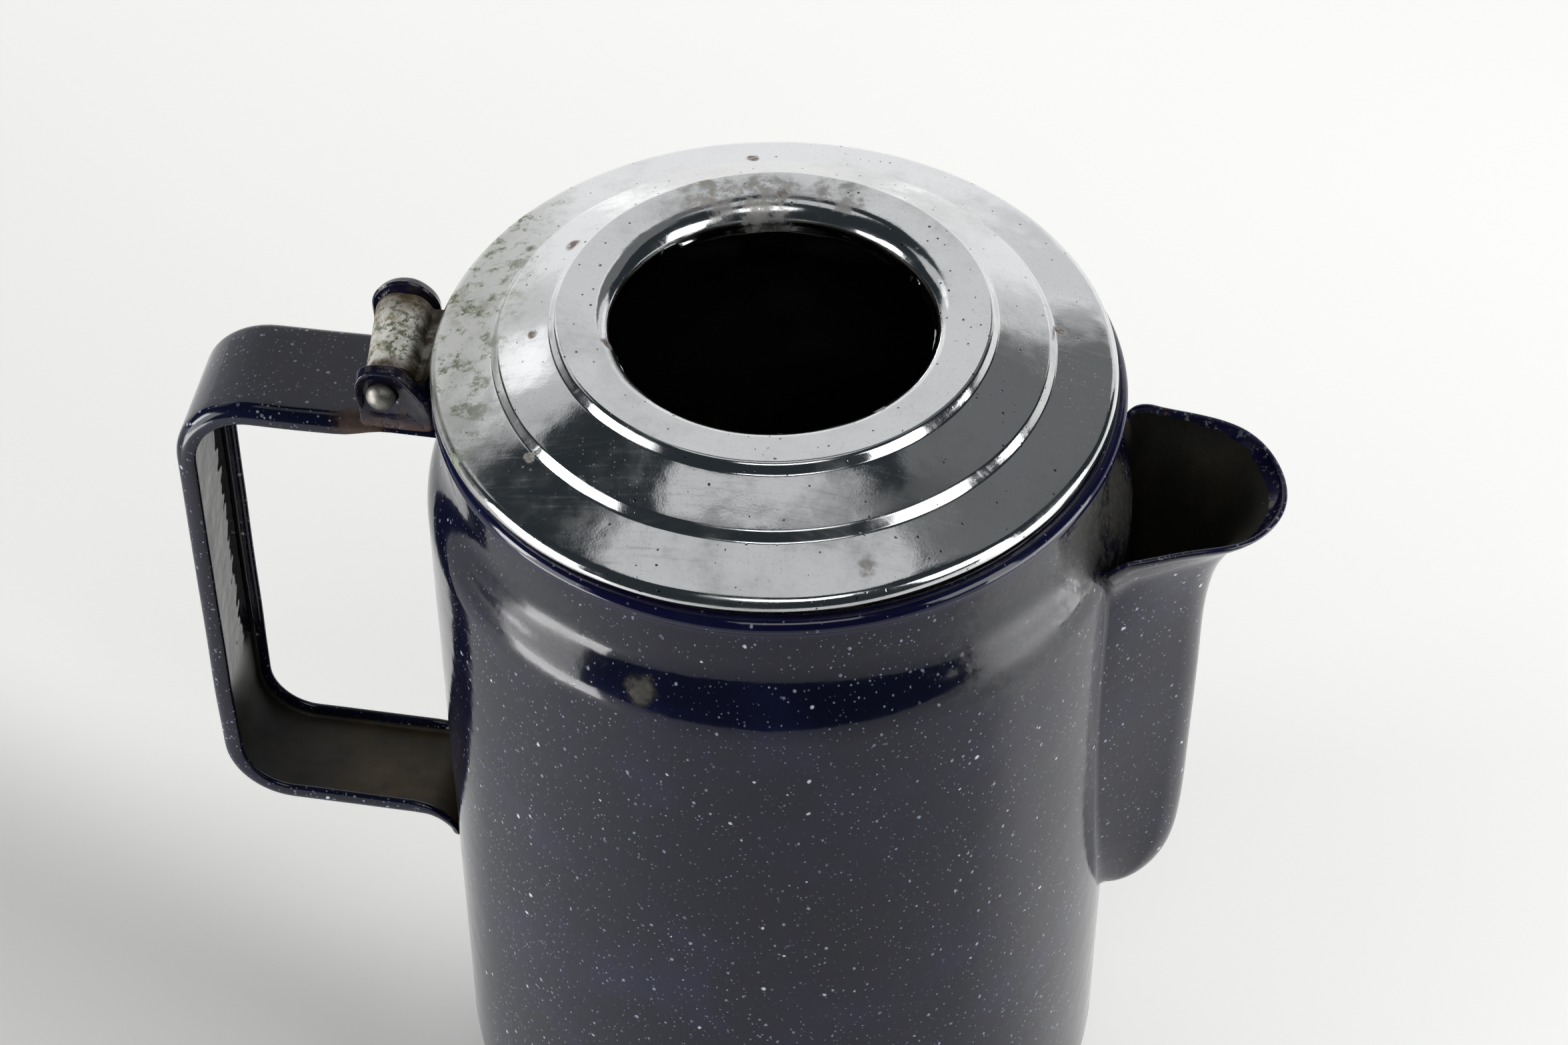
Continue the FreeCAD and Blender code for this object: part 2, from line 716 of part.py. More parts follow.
def make_basket():
    """The drawn cup for the ground coffee, with a turned-out rim and a drilled floor."""
    body = new_body("basket")
    inner = "(basket_radius - basket_sheet)"
    turned(body, (
        ("sleeve_radius", "basket_low"),
        ("basket_radius - basket_corner", "basket_low", "basket_corner", LEFT),
        ("basket_radius", "basket_low + basket_corner"),
        ("basket_radius", "basket_high - 2 * basket_sheet"),
        ("basket_rim_radius", "basket_high - 2 * basket_sheet"),
        ("basket_rim_radius", "basket_high"),
        (inner, "basket_high"),
        (inner, "basket_low + basket_corner", "basket_corner - basket_sheet", RIGHT),
        ("basket_radius - basket_corner", "basket_low + basket_sheet"),
        ("sleeve_radius", "basket_low + basket_sheet"),
    ))
    document.recompute()
    perforated(body, BASKET_RINGS)
    return body


def make_basket_sleeve():
    """The tube staked into the basket's floor, which slides over the stem."""
    body = new_body("basket_sleeve")
    turned(body, (
        ("sleeve_bore", "sleeve_low"),
        ("sleeve_radius + basket_sheet", "sleeve_low"),
        ("sleeve_radius + basket_sheet", "basket_low"),
        ("sleeve_radius", "basket_low"),
        ("sleeve_radius", "sleeve_high"),
        ("sleeve_bore", "sleeve_high"),
    ))
    return body


def make_basket_cover():
    """The spreader: a drilled disc that sits on the basket's rim and spreads the water over the coffee."""
    body = new_body("basket_cover")
    low = "(basket_high + cover_gap)"
    dish = "(2.5 * basket_sheet)"
    turned(body, (
        ("cover_hole", f"{low} + {dish}"),
        ("cover_hole + 3 * basket_sheet", low),
        ("basket_rim_radius + cover_gap", low),
        ("basket_rim_radius + cover_gap", f"{low} - cover_skirt"),
        ("basket_rim_radius + cover_gap + basket_sheet", f"{low} - cover_skirt"),
        ("basket_rim_radius + cover_gap + basket_sheet", f"{low} + basket_sheet"),
        ("cover_hole + 4 * basket_sheet", f"{low} + basket_sheet"),
        ("cover_hole + basket_sheet", f"{low} + {dish}"),
    ))
    document.recompute()
    perforated(body, COVER_RINGS)
    return body


def check(objects):
    """Stop if any object failed, or any sub-part has no valid solid."""
    for item in document.Objects:
        if "Invalid" in item.State or "Error" in item.State:
            raise RuntimeError(f"{item.Name} is {item.State}")
    for item in objects:
        if item.Shape.isNull() or not item.Shape.isValid():
            raise RuntimeError(f"{item.Label} has no valid shape")
        print(f"{item.Label:16s} solids {len(item.Shape.Solids)}  volume {item.Shape.Volume:10.2f} mm3")


def main():
    fill_sheet()
    leaf_rivets = make_leaf_rivets()
    sub_parts = [
        make_pot_body(),
        make_spout(),
        make_handle_strap(),
        make_hinge_pin(),
        make_lid_shell(),
        drill_leaf(make_lid_collar(), "lid_collar"),
        drill_leaf(make_lid_hinge_leaf(), "lid_hinge_leaf"),
        leaf_rivets,
        make_pump_stem(),
        make_pump_base(),
        make_valve_washer(),
        make_basket_stop(),
        make_basket(),
        make_basket_sleeve(),
        make_basket_cover(),
    ]
    document.recompute()
    check(sub_parts)
    os.makedirs("parts", exist_ok=True)
    for part in sub_parts:
        part.Shape.exportStep(f"parts/{part.Label}.step")


main()
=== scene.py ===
import json
import math

import bpy
import numpy as np
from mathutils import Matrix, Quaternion, Vector, noise


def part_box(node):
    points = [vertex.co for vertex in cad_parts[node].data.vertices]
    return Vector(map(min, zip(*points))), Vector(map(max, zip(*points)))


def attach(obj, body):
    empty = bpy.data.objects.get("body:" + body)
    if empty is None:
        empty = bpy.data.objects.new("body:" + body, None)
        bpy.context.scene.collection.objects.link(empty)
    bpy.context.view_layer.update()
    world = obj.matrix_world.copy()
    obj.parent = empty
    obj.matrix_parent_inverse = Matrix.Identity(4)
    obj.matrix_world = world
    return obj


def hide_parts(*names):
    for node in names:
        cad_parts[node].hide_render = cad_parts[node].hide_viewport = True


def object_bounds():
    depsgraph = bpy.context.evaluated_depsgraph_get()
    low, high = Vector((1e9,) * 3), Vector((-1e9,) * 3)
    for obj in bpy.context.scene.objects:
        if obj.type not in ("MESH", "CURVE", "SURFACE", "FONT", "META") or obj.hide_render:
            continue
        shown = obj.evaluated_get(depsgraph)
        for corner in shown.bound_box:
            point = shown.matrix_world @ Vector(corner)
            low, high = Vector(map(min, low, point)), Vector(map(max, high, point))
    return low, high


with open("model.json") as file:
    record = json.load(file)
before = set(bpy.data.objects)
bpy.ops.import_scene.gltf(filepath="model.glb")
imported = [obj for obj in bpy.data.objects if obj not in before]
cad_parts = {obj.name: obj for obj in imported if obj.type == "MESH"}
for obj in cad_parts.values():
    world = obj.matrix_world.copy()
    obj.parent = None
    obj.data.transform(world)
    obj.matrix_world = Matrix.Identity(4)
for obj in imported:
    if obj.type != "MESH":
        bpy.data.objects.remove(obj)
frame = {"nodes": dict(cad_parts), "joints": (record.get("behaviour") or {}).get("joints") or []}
cad_low, cad_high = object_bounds()
scene = bpy.context.scene

# Shapes are worked out in millimetres, in the CAD's frame, and make_object turns them into metres.
MM = 0.001
FULL = 2 * math.pi


# ---------------- sizes, read from the frame

def box_mm(node):
    """Lowest and highest corner of a CAD node, in millimetres."""
    low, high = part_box(node)
    return np.array(low) / MM, np.array(high) / MM


pot_low, pot_high = box_mm("pot_body")
lid_low, lid_high = box_mm("lid_shell")
strap_low, strap_high = box_mm("handle_strap")
spout_high = box_mm("spout")[1]
pin_low, pin_high = box_mm("hinge_pin")
leaf_low, leaf_high = box_mm("lid_hinge_leaf")
collar_low, collar_high = box_mm("lid_collar")
hinge = np.array(next(j["pos_m"] for j in frame["joints"] if j["name"] == "lid_hinge")) / MM

WALL = 1.0
BODY_R = (pot_high[0] - pot_low[0]) / 2
RIM_TOP = pot_high[2]
BEAD_ROUND = 1.6
BEAD_DEGREES = (-80.35, 237)
BEAD_Z = RIM_TOP - BEAD_ROUND
BEAD_R = BODY_R - 3.8
NECK_R = BODY_R - 3.7
SHOULDER_LOW = RIM_TOP - 24.5
SHOULDER_HIGH = RIM_TOP - 10.5
BASE_CORNER = 18.0
SHOULDER_STEP = BODY_R - NECK_R
SHOULDER_BEND = (SHOULDER_STEP ** 2 + (SHOULDER_HIGH - SHOULDER_LOW) ** 2) / (4 * SHOULDER_STEP)

LID_X = (lid_low[0] + lid_high[0]) / 2
LID_R = (lid_high[0] - lid_low[0]) / 2
LID_LOW = lid_low[2]
LID_TOP = lid_high[2]
LID_SHEET = 0.6
HOLE_R = 25.1

STRAP_X = strap_low[0]
STRAP_HALF = (strap_high[1] - strap_low[1]) / 2
STRAP_TOP = hinge[2] - 6.3
STRAP_LOW = strap_low[2] + 2.8
STRAP_SHEET = 1.4


# ---------------- outlines

def arc(centre, radius, start, stop, count):
    """Points on a circle from angle start to angle stop, in degrees."""
    angles = np.radians(np.linspace(start, stop, count))
    return np.stack([centre[0] + radius * np.cos(angles), centre[1] + radius * np.sin(angles)], 1)


def rounded(corners, per_arc=10):
    """An open outline through corners (x, y, bend radius), each bend drawn as an arc."""
    points = np.array([corner[:2] for corner in corners], float)
    out = [points[:1]]
    for index in range(1, len(points) - 1):
        before = points[index - 1] - points[index]
        after = points[index + 1] - points[index]
        before /= np.linalg.norm(before)
        after /= np.linalg.norm(after)
        radius = corners[index][2]
        half = math.acos(float(np.clip(before @ after, -1, 1))) / 2
        reach = radius / math.tan(half)
        start = points[index] + before * reach
        stop = points[index] + after * reach
        middle = before + after
        centre = points[index] + middle / np.linalg.norm(middle) * (radius / math.sin(half))
        first = math.atan2(*(start - centre)[::-1])
        sweep = math.atan2(*(stop - centre)[::-1]) - first
        sweep = (sweep + math.pi) % FULL - math.pi
        out.append(arc(centre, radius, math.degrees(first), math.degrees(first + sweep), per_arc))
    out.append(points[-1:])
    return np.concatenate(out)


def resampled(path, spacing):
    """The same outline with points no further apart than spacing."""
    out = [path[:1]]
    for here, there in zip(path[:-1], path[1:]):
        parts = max(1, int(math.ceil(np.linalg.norm(there - here) / spacing)))
        out.append(here + (there - here) * (np.arange(1, parts + 1) / parts)[:, None])
    return np.concatenate(out)


def normals_of(path):
    """Unit normals of an open outline, to the left of its direction."""
    along = np.gradient(path, axis=0)
    along /= np.linalg.norm(along, axis=1)[:, None]
    return np.stack([-along[:, 1], along[:, 0]], 1)


def thickened(path, thickness, cap=5):
    """A closed outline: the path, a round end, the path moved left by the thickness, and a round end."""
    side = normals_of(path)
    other = path + side * thickness
    angles = np.linspace(0, math.pi, cap + 2)[1:-1, None]

    def round_end(index, direction):
        middle = (path[index] + other[index]) / 2
        along = np.array([side[index][1], -side[index][0]]) * direction
        return middle + thickness / 2 * (-side[index] * direction * np.cos(angles) + along * np.sin(angles))

    return np.concatenate([path, round_end(-1, 1), other[::-1], round_end(0, -1)])


def spline(knots, values, where):
    """A natural cubic spline through values at knots."""
    knots = np.asarray(knots, float)
    values = np.asarray(values, float)
    count = len(knots)
    gap = np.diff(knots)
    matrix = np.eye(count)
    right = np.zeros(count)
    for index in range(1, count - 1):
        matrix[index, index - 1: index + 2] = gap[index - 1], 2 * (gap[index - 1] + gap[index]), gap[index]
        rise = np.diff(values[index - 1: index + 2]) / gap[index - 1: index + 1]
        right[index] = 3 * (rise[1] - rise[0])
    curve = np.linalg.solve(matrix, right)
    piece = np.clip(np.searchsorted(knots, where) - 1, 0, count - 2)
    step = where - knots[piece]
    slope = np.diff(values)[piece] / gap[piece] - gap[piece] * (2 * curve[piece] + curve[piece + 1]) / 3
    cubic = (curve[piece + 1] - curve[piece]) / (3 * gap[piece])
    return values[piece] + step * (slope + step * (curve[piece] + step * cubic))


def smooth(low, high, x):
    """0 below low, 1 above high, smooth between."""
    t = np.clip((np.asarray(x, float) - low) / (high - low), 0, 1)
    return t * t * (3 - 2 * t)


# ---------------- meshes

def make_object(name, points, faces, body, materials, stands_for=(), face_slots=None):
    """A smooth-shaded mesh piece, from points in millimetres."""
    mesh = bpy.data.meshes.new(name)
    mesh.from_pydata((np.asarray(points) * MM).tolist(), [], [tuple(face) for face in faces])
    for material in materials:
        mesh.materials.append(material)
    if face_slots is not None:
        mesh.polygons.foreach_set("material_index", np.asarray(face_slots, np.int32))
    mesh.polygons.foreach_set("use_smooth", np.ones(len(mesh.polygons), bool))
    mesh.validate()
    mesh.update()
    piece = bpy.data.objects.new(name, mesh)
    scene.collection.objects.link(piece)
    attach(piece, body)
    if stands_for:
        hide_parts(*stands_for)
    return piece


def grid_faces(rows, columns, wrap_rows=True, wrap_columns=True):
    """Quads of a grid of points stored row by row, as (row, column, quad) arrays."""
    r = np.arange(rows if wrap_rows else rows - 1)
    c = np.arange(columns if wrap_columns else columns - 1)
    row, column = (a.ravel() for a in np.meshgrid(r, c, indexing="ij"))
    up = (row + 1) % rows
    on = (column + 1) % columns
    here = row * columns
    above = up * columns
    quads = np.stack([here + column, here + on, above + on, above + column], 1)
    return row, column, quads


def end_caps(rows, columns):
    """One face over the first row of a grid and one over its last."""
    first = list(range(columns))
    return [first, [(rows - 1) * columns + c for c in reversed(first)]]


def turned_points(outline, angles, centre_x=0.0):
    """Points of an outline (radius, height) turned to each angle: rows follow the outline."""
    radius = outline[:, :1]
    x = centre_x + radius * np.cos(angles)
    y = radius * np.sin(angles)
    z = np.broadcast_to(outline[:, 1:2], x.shape)
    return np.stack([x, y, z], -1).reshape(-1, 3)


def turned(name, outline, body, materials, stands_for=(), centre_x=0.0, columns=180, change=None):
    """A closed outline turned all the way round a vertical axis."""
    angles = np.linspace(0, FULL, columns, endpoint=False)
    points = turned_points(outline, angles, centre_x)
    if change is not None:
        points = change(points)
    faces = grid_faces(len(outline), columns)[2]
    return make_object(name, points, faces, body, materials, stands_for)


def uneven(points, scale, amount, seed=0.0):
    """Points moved a little by smooth noise, as hand-made and used sheet metal is."""
    shift = Vector((seed, seed * 0.7, seed * 1.3))
    moves = [noise.noise_vector(Vector(point) / scale + shift) for point in points]
    return points + np.array(moves) * amount


# ---------------- material helpers

SPECK_TURN = (0.61, 0.43, 0.27)
SPECK_WOBBLE = 0.22


class Nodes:
    """A short way to build a node tree: each call makes one node and returns its output."""

    def __init__(self, tree, shader):
        self.tree = tree
        self.shader = shader
        self.place = tree.nodes.new("ShaderNodeTexCoord").outputs["Object"]

    def fill(self, socket, source):
        """Link a socket to another node's output, or set its value."""
        if isinstance(source, bpy.types.NodeSocket):
            self.tree.links.new(source, socket)
        elif socket.type == "RGBA":
            socket.default_value = (*source, 1.0)
        else:
            socket.default_value = source

    def node(self, kind, inputs, **settings):
        made = self.tree.nodes.new("ShaderNode" + kind)
        for key, setting in settings.items():
            setattr(made, key, setting)
        for key, source in inputs.items():
            self.fill(made.inputs[key], source)
        return made

    def scaled(self, factor, turn=(0, 0, 0)):
        """Object coordinates in which one unit is 1 mm divided by factor."""
        size = tuple(1000 * f for f in (factor if isinstance(factor, tuple) else (factor,) * 3))
        inputs = {"Vector": self.place, "Scale": size, "Rotation": turn}
        return self.node("Mapping", inputs).outputs[0]

    def math(self, operation, a, b):
        return self.node("Math", {0: a, 1: b}, operation=operation).outputs[0]

    def vector_math(self, operation, a, b):
        return self.node("VectorMath", {0: a, 1: b}, operation=operation)

    def times(self, a, b):
        return self.math("MULTIPLY", a, b)

    def plus(self, a, b):
        return self.math("ADD", a, b)

    def most(self, a, b):
        return self.math("MAXIMUM", a, b)

    def axis(self, index):
        """One of the three coordinates in metres."""
        return self.node("SeparateXYZ", {0: self.place}).outputs[index]

    def noise(self, factor, detail=3.0, rough=0.55, turn=(0, 0, 0)):
        vector = self.scaled(factor, turn)
        inputs = {"Vector": vector, "Scale": 1.0, "Detail": detail, "Roughness": rough}
        return self.node("TexNoise", inputs).outputs["Fac"]

    def ramp(self, value, low, high, to_low=0.0, to_high=1.0):
        inputs = {"Value": value, "From Min": low, "From Max": high, "To Min": to_low, "To Max": to_high}
        return self.node("MapRange", inputs, interpolation_type="SMOOTHSTEP").outputs[0]

    def mix(self, factor, a, b):
        return self.node("Mix", {0: factor, 6: a, 7: b}, data_type="RGBA").outputs[2]

    def specks(self, factor, largest, share, stretch=(1, 1, 1)):
        """Round specks: one in a share of the cells, up to a largest radius, in cell units.

        The grid of cells is turned, so that no rows of specks run along the pot's wall.
        """
        vector = self.scaled(tuple(factor * s for s in stretch), SPECK_TURN)
        wobble = self.node("TexNoise", {"Vector": vector, "Scale": 2.5, "Detail": 1.0})
        colour = wobble.outputs["Color"]
        moved = self.vector_math("MULTIPLY", colour, (SPECK_WOBBLE,) * 3).outputs[0]
        vector = self.vector_math("ADD", vector, moved).outputs[0]
        cells = self.node("TexVoronoi", {"Vector": vector, "Scale": 1.0, "Randomness": 0.95})
        chance = self.node("SeparateColor", {0: cells.outputs["Color"]})
        size = self.ramp(chance.outputs[0], 1 - share, 1.0, 0.0, largest)
        inner = self.times(size, 0.55)
        inputs = {"Value": cells.outputs["Distance"], "From Min": inner, "From Max": size}
        shape = self.node("MapRange", {**inputs, "To Min": 1.0, "To Max": 0.0})
        present = self.math("GREATER_THAN", size, largest * 0.04)
        return self.times(shape.outputs[0], present), chance.outputs[1]

    def bump(self, height, distance):
        return self.node("Bump", {"Height": height, "Distance": distance, "Strength": 1}).outputs[0]

    def feed(self, **sources):
        """Set or link the shader's sockets by name, with _ for a space."""
        for key, source in sources.items():
            self.fill(self.shader.inputs[key.replace("_", " ")], source)


def new_material(name):
    """A material with one shader: returns it and its node helper."""
    material = bpy.data.materials.new(name)
    material.use_nodes = True
    tree = material.node_tree
    tree.nodes.clear()
    shader = tree.nodes.new("ShaderNodeBsdfPrincipled")
    output = tree.nodes.new("ShaderNodeOutputMaterial")
    tree.links.new(shader.outputs[0], output.inputs[0])
    return material, Nodes(tree, shader)


# ---------------- materials

NAVY = (0.0040, 0.0048, 0.0165)
BLUE_CLOUD = (0.0080, 0.0100, 0.0380)
DEEP_NAVY = (0.0045, 0.0042, 0.0280)
SPECK = (0.30, 0.33, 0.42)
PALE_SPECK = (0.62, 0.66, 0.72)
RUST = (0.20, 0.07, 0.02)
OCHRE = (0.12, 0.085, 0.035)


def enamel(name, base=NAVY, density=1.0, stains=()):
    """Glossy dark enamel with fine pale specks at three sizes.

    Each stain is a place, a radius in millimetres, a colour and a roughness.
    """
    material, n = new_material(name)
    tone = n.mix(n.ramp(n.noise(0.05, 4.0), 0.45, 0.75), base, BLUE_CLOUD)
    fine, fine_shade = n.specks(1.25, 0.28, 0.95 * density)
    middle, middle_shade = n.specks(0.62, 0.22, 0.85 * density, stretch=(1, 1, 0.8))
    large, _ = n.specks(0.26, 0.125, 0.60 * density)
    patch = n.ramp(n.noise(0.07, 3.0), 0.3, 0.65, 0.45, 1.0)
    fine = n.times(fine, n.times(n.ramp(fine_shade, 0.0, 1.0, 0.35, 1.0), patch))
    middle = n.times(middle, n.ramp(middle_shade, 0.0, 1.0, 0.3, 1.0))
    colour = n.mix(fine, tone, SPECK)
    colour = n.mix(middle, colour, SPECK)
    colour = n.mix(large, colour, PALE_SPECK)
    rough = n.ramp(n.noise(0.25, 4.0), 0.3, 0.8, 0.07, 0.16)
    for place, radius, stain_colour, stain_rough in stains:
        spot = stain_mask(n, place, radius)
        lighter = tuple(c * 2.2 for c in stain_colour)
        mottled = n.mix(n.ramp(n.noise(1.2, 3.0), 0.45, 0.8), stain_colour, lighter)
        colour = n.mix(spot, colour, mottled)
        rough = n.most(rough, n.times(spot, stain_rough))
    raised = n.plus(n.times(fine, 0.3), n.plus(middle, large))
    height = n.plus(n.times(n.noise(0.16, 2.0), 1.2), n.times(n.noise(1.1, 2.0), 0.08))
    height = n.plus(height, n.times(raised, 0.15))
    n.feed(Base_Color=colour, Roughness=rough, Normal=n.bump(height, 0.00006), IOR=1.5)
    return material


def stain_mask(n, place, radius):
    """A soft round patch with a ragged edge, centred on a place given in millimetres."""
    centre = tuple(p * MM for p in place)
    away = n.vector_math("DISTANCE", n.place, centre).outputs["Value"]
    ragged = n.times(n.math("SUBTRACT", n.noise(0.5, 4.0), 0.5), radius * MM * 1.2)
    return n.ramp(n.plus(away, ragged), radius * MM * 0.4, radius * MM, 0.9, 0.0)


def black_enamel():
    """The pot's inside: black enamel dulled by coffee."""
    material, n = new_material("inside_enamel")
    film = n.noise(0.08, 4.0)
    colour = n.mix(n.ramp(film, 0.4, 0.75), (0.0022, 0.002, 0.002), (0.008, 0.006, 0.004))
    dots, _ = n.specks(0.5, 0.16, 0.2)
    colour = n.mix(n.times(dots, 0.25), colour, OCHRE)
    rough = n.ramp(film, 0.3, 0.8, 0.5, 0.75)
    n.feed(Base_Color=colour, Roughness=rough, Normal=n.bump(n.noise(0.6, 4.0), 0.00012))
    n.feed(Specular_IOR_Level=0.25)
    return material


# Dull films left on the lid: place, radius and colour.
FILMS = (
    ((-15.0, 26.5, 179.0), 6.5, (0.34, 0.28, 0.14)),
    ((-7.0, 28.0, 179.0), 7.5, (0.26, 0.26, 0.15)),
    ((5.0, 29.5, 179.5), 5.5, (0.13, 0.15, 0.10)),
    ((-25.0, -36.5, 174.5), 2.2, (0.22, 0.19, 0.10)),
    ((20.0, -45.0, 172.5), 2.0, (0.22, 0.19, 0.10)),
    ((-50.5, 3.0, 172.5), 6.0, (0.17, 0.17, 0.09)),
)


def chrome():
    """Old chrome plate: bright, hazy in patches, pitted, with spots, and green towards the hinge."""
    material, n = new_material("worn_chrome")
    haze = n.ramp(n.noise(0.045, 5.0, 0.65), 0.42, 0.68)
    scratch = n.noise((0.08, 1.6, 0.3), 4.0, 0.5, turn=(0, 0, 0.5))
    grain = n.noise(2.2, 3.0, 0.7)
    pits, _ = n.specks(0.75, 0.21, 0.45)
    spots, spot_shade = n.specks(0.105, 0.16, 0.80)
    spots = n.times(spots, n.ramp(n.noise(1.2, 3.0), 0.38, 0.55, 0.45, 1.0))
    dust, _ = n.specks(1.9, 0.30, 0.6)
    dust = n.times(dust, n.ramp(n.noise(0.06, 4.0), 0.45, 0.62))
    hinge_way = n.ramp(n.axis(0), -0.050, -0.036, 1.0, 0.0)
    green = n.times(n.ramp(n.noise(0.26, 6.0, 0.75), 0.48, 0.63), hinge_way)
    dulled = n.times(hinge_way, 0.45)
    clean = n.mix(haze, (0.80, 0.81, 0.82), (0.66, 0.67, 0.67))
    colour = n.mix(n.times(n.ramp(grain, 0.56, 0.72), 0.30), clean, (0.38, 0.38, 0.36))
    colour = n.mix(n.times(pits, 0.85), colour, (0.05, 0.05, 0.045))
    spot_colour = n.mix(n.ramp(spot_shade, 0.3, 0.6), (0.20, 0.17, 0.08), (0.16, 0.07, 0.04))
    for place, radius, film_colour in FILMS:
        broken = n.ramp(n.noise(0.35, 4.0, 0.7), 0.38, 0.62, 0.08, 0.65)
        film = n.times(stain_mask(n, place, radius), broken)
        spot_colour = n.mix(film, spot_colour, film_colour)
        spots = n.most(spots, film)
    colour = n.mix(n.times(spots, 0.8), colour, spot_colour)
    colour = n.mix(dulled, colour, (0.50, 0.50, 0.44))
    colour = n.mix(n.times(green, 0.85), colour, (0.13, 0.17, 0.055))
    rough = n.plus(n.ramp(haze, 0.0, 1.0, 0.09, 0.24), n.ramp(scratch, 0.5, 0.8, 0.0, 0.08))
    rough = n.plus(rough, n.times(n.most(spots, n.most(green, dulled)), 0.45))
    dull = n.most(spots, n.times(green, 0.7))
    metal = n.ramp(n.most(dull, n.times(dust, 0.35)), 0.1, 0.9, 1.0, 0.15)
    rough = n.plus(rough, n.times(dust, 0.25))
    height = n.plus(n.times(n.noise(0.12, 2.0), 2.2), n.times(pits, -0.4))
    height = n.plus(height, n.times(grain, 0.18))
    n.feed(Base_Color=colour, Metallic=metal, Roughness=rough, Normal=n.bump(height, 0.00004))
    return material


def tarnished(name, bright, dark, green_share=0.4, dirt_and_shade=(), dulling=0.0):
    """Tin plate or steel gone dull, with brown and green in the low places.

    Each piece of dirt and painted shade is an axis, two places in millimetres it spreads between, and a
    colour.
    """
    material, n = new_material(name)
    patches = n.noise(0.30, 5.0, 0.68)
    fine = n.noise(1.5, 4.0, 0.7)
    colour = n.mix(n.ramp(patches, 0.50, 0.66), bright, dark)
    green = n.times(n.ramp(n.noise(0.55, 5.0, 0.7), 0.50, 0.60), green_share)
    colour = n.mix(green, colour, (0.09, 0.12, 0.05))
    colour = n.mix(n.ramp(fine, 0.60, 0.70, 0.0, 0.70), colour, tuple(c * 0.25 for c in dark))
    soiled_and_shaded = 0.0
    # Each entry mixes its colour in along one axis; some entries are dirt, some are painted shade.
    for axis, none, full, dirt_and_shade_colour in dirt_and_shade:
        amount = n.ramp(n.axis(axis), none * MM, full * MM)
        amount = n.times(amount, n.ramp(patches, 0.35, 0.6, 0.6, 1.0))
        colour = n.mix(amount, colour, dirt_and_shade_colour)
        soiled_and_shaded = n.most(amount, soiled_and_shaded)
    rough = n.ramp(n.plus(patches, soiled_and_shaded), 0.35, 0.8, 0.25 + dulling, 0.6)
    metal = n.ramp(n.plus(n.plus(patches, green), soiled_and_shaded), 0.4, 0.9, 0.95, 0.3)
    n.feed(Base_Color=colour, Metallic=metal, Roughness=rough, Normal=n.bump(fine, 0.00008))
    return material


def spun_aluminium():
    """Satin aluminium with turning marks and a coffee film."""
    material, n = new_material("stained_aluminium")
    film = n.noise(0.07, 4.0, 0.6)
    rings = n.noise((0.15, 0.15, 4.0), 3.0, 0.5)
    colour = n.mix(n.ramp(film, 0.42, 0.7), (0.60, 0.60, 0.59), (0.34, 0.27, 0.19))
    pits, _ = n.specks(0.6, 0.18, 0.25)
    colour = n.mix(n.times(pits, 0.5), colour, (0.12, 0.09, 0.06))
    rough = n.ramp(film, 0.3, 0.75, 0.28, 0.5)
    n.feed(Base_Color=colour, Metallic=0.9, Roughness=rough)
    n.feed(Normal=n.bump(rings, 0.00006))
    return material


def floor_paper():
    """Matt pale studio paper with painted light: it glows a little, least towards the near left corner."""
    material, n = new_material("studio_paper")
    leftward = n.times(n.math("MINIMUM", n.axis(0), 0.0), 0.33)
    rightward = n.times(n.most(n.axis(0), 0.0), 0.20)
    along = n.plus(n.axis(1), n.plus(leftward, rightward))
    # Painted light: the emission makes the paper brighter towards the back and right, as the lamps'
    # fall-off would.
    painted_glow = n.plus(n.ramp(along, -0.045, 0.02, 0.07, 0.47), n.ramp(along, 0.05, 0.35, 0.0, 0.15))
    colour = n.mix(n.ramp(n.noise(0.004, 2.0), 0.3, 0.7), (0.70, 0.70, 0.68), (0.72, 0.72, 0.70))
    n.feed(Base_Color=colour, Roughness=0.9, Specular_IOR_Level=0.1)
    n.feed(Emission_Color=(1.0, 0.995, 0.975), Emission_Strength=painted_glow)
    return material


# Stains and worn patches of the enamel: place, radius, colour and roughness.
BRUISE = ((-13.0, -54.5, 150.0), 3.4, (0.045, 0.040, 0.030), 0.5)
WORN_NECK = ((50.0, -17.0, 156.0), 13.0, (0.050, 0.050, 0.046), 0.55)
WORN_NOTCH = ((54.0, -3.0, 150.0), 12.0, (0.045, 0.043, 0.036), 0.55)
RUBBED_LEFT = ((-31.0, -44.0, 152.5), 15.0, (0.014, 0.015, 0.022), 0.19)
RUBBED_RIGHT = ((42.0, -34.0, 152.5), 17.0, (0.020, 0.021, 0.027), 0.36)
RUSTY_STRAP = ((-66.0, -11.0, 157.0), 6.0, (0.045, 0.022, 0.012), 0.5)
body_enamel = enamel("speckled_enamel", stains=(BRUISE, WORN_NECK, WORN_NOTCH, RUBBED_LEFT, RUBBED_RIGHT))
rim_enamel = enamel("rim_enamel", base=DEEP_NAVY, density=0.35)
strap_enamel = enamel("strap_enamel", density=1.5, stains=(RUSTY_STRAP,))
inside = black_enamel()
chrome_plate = chrome()
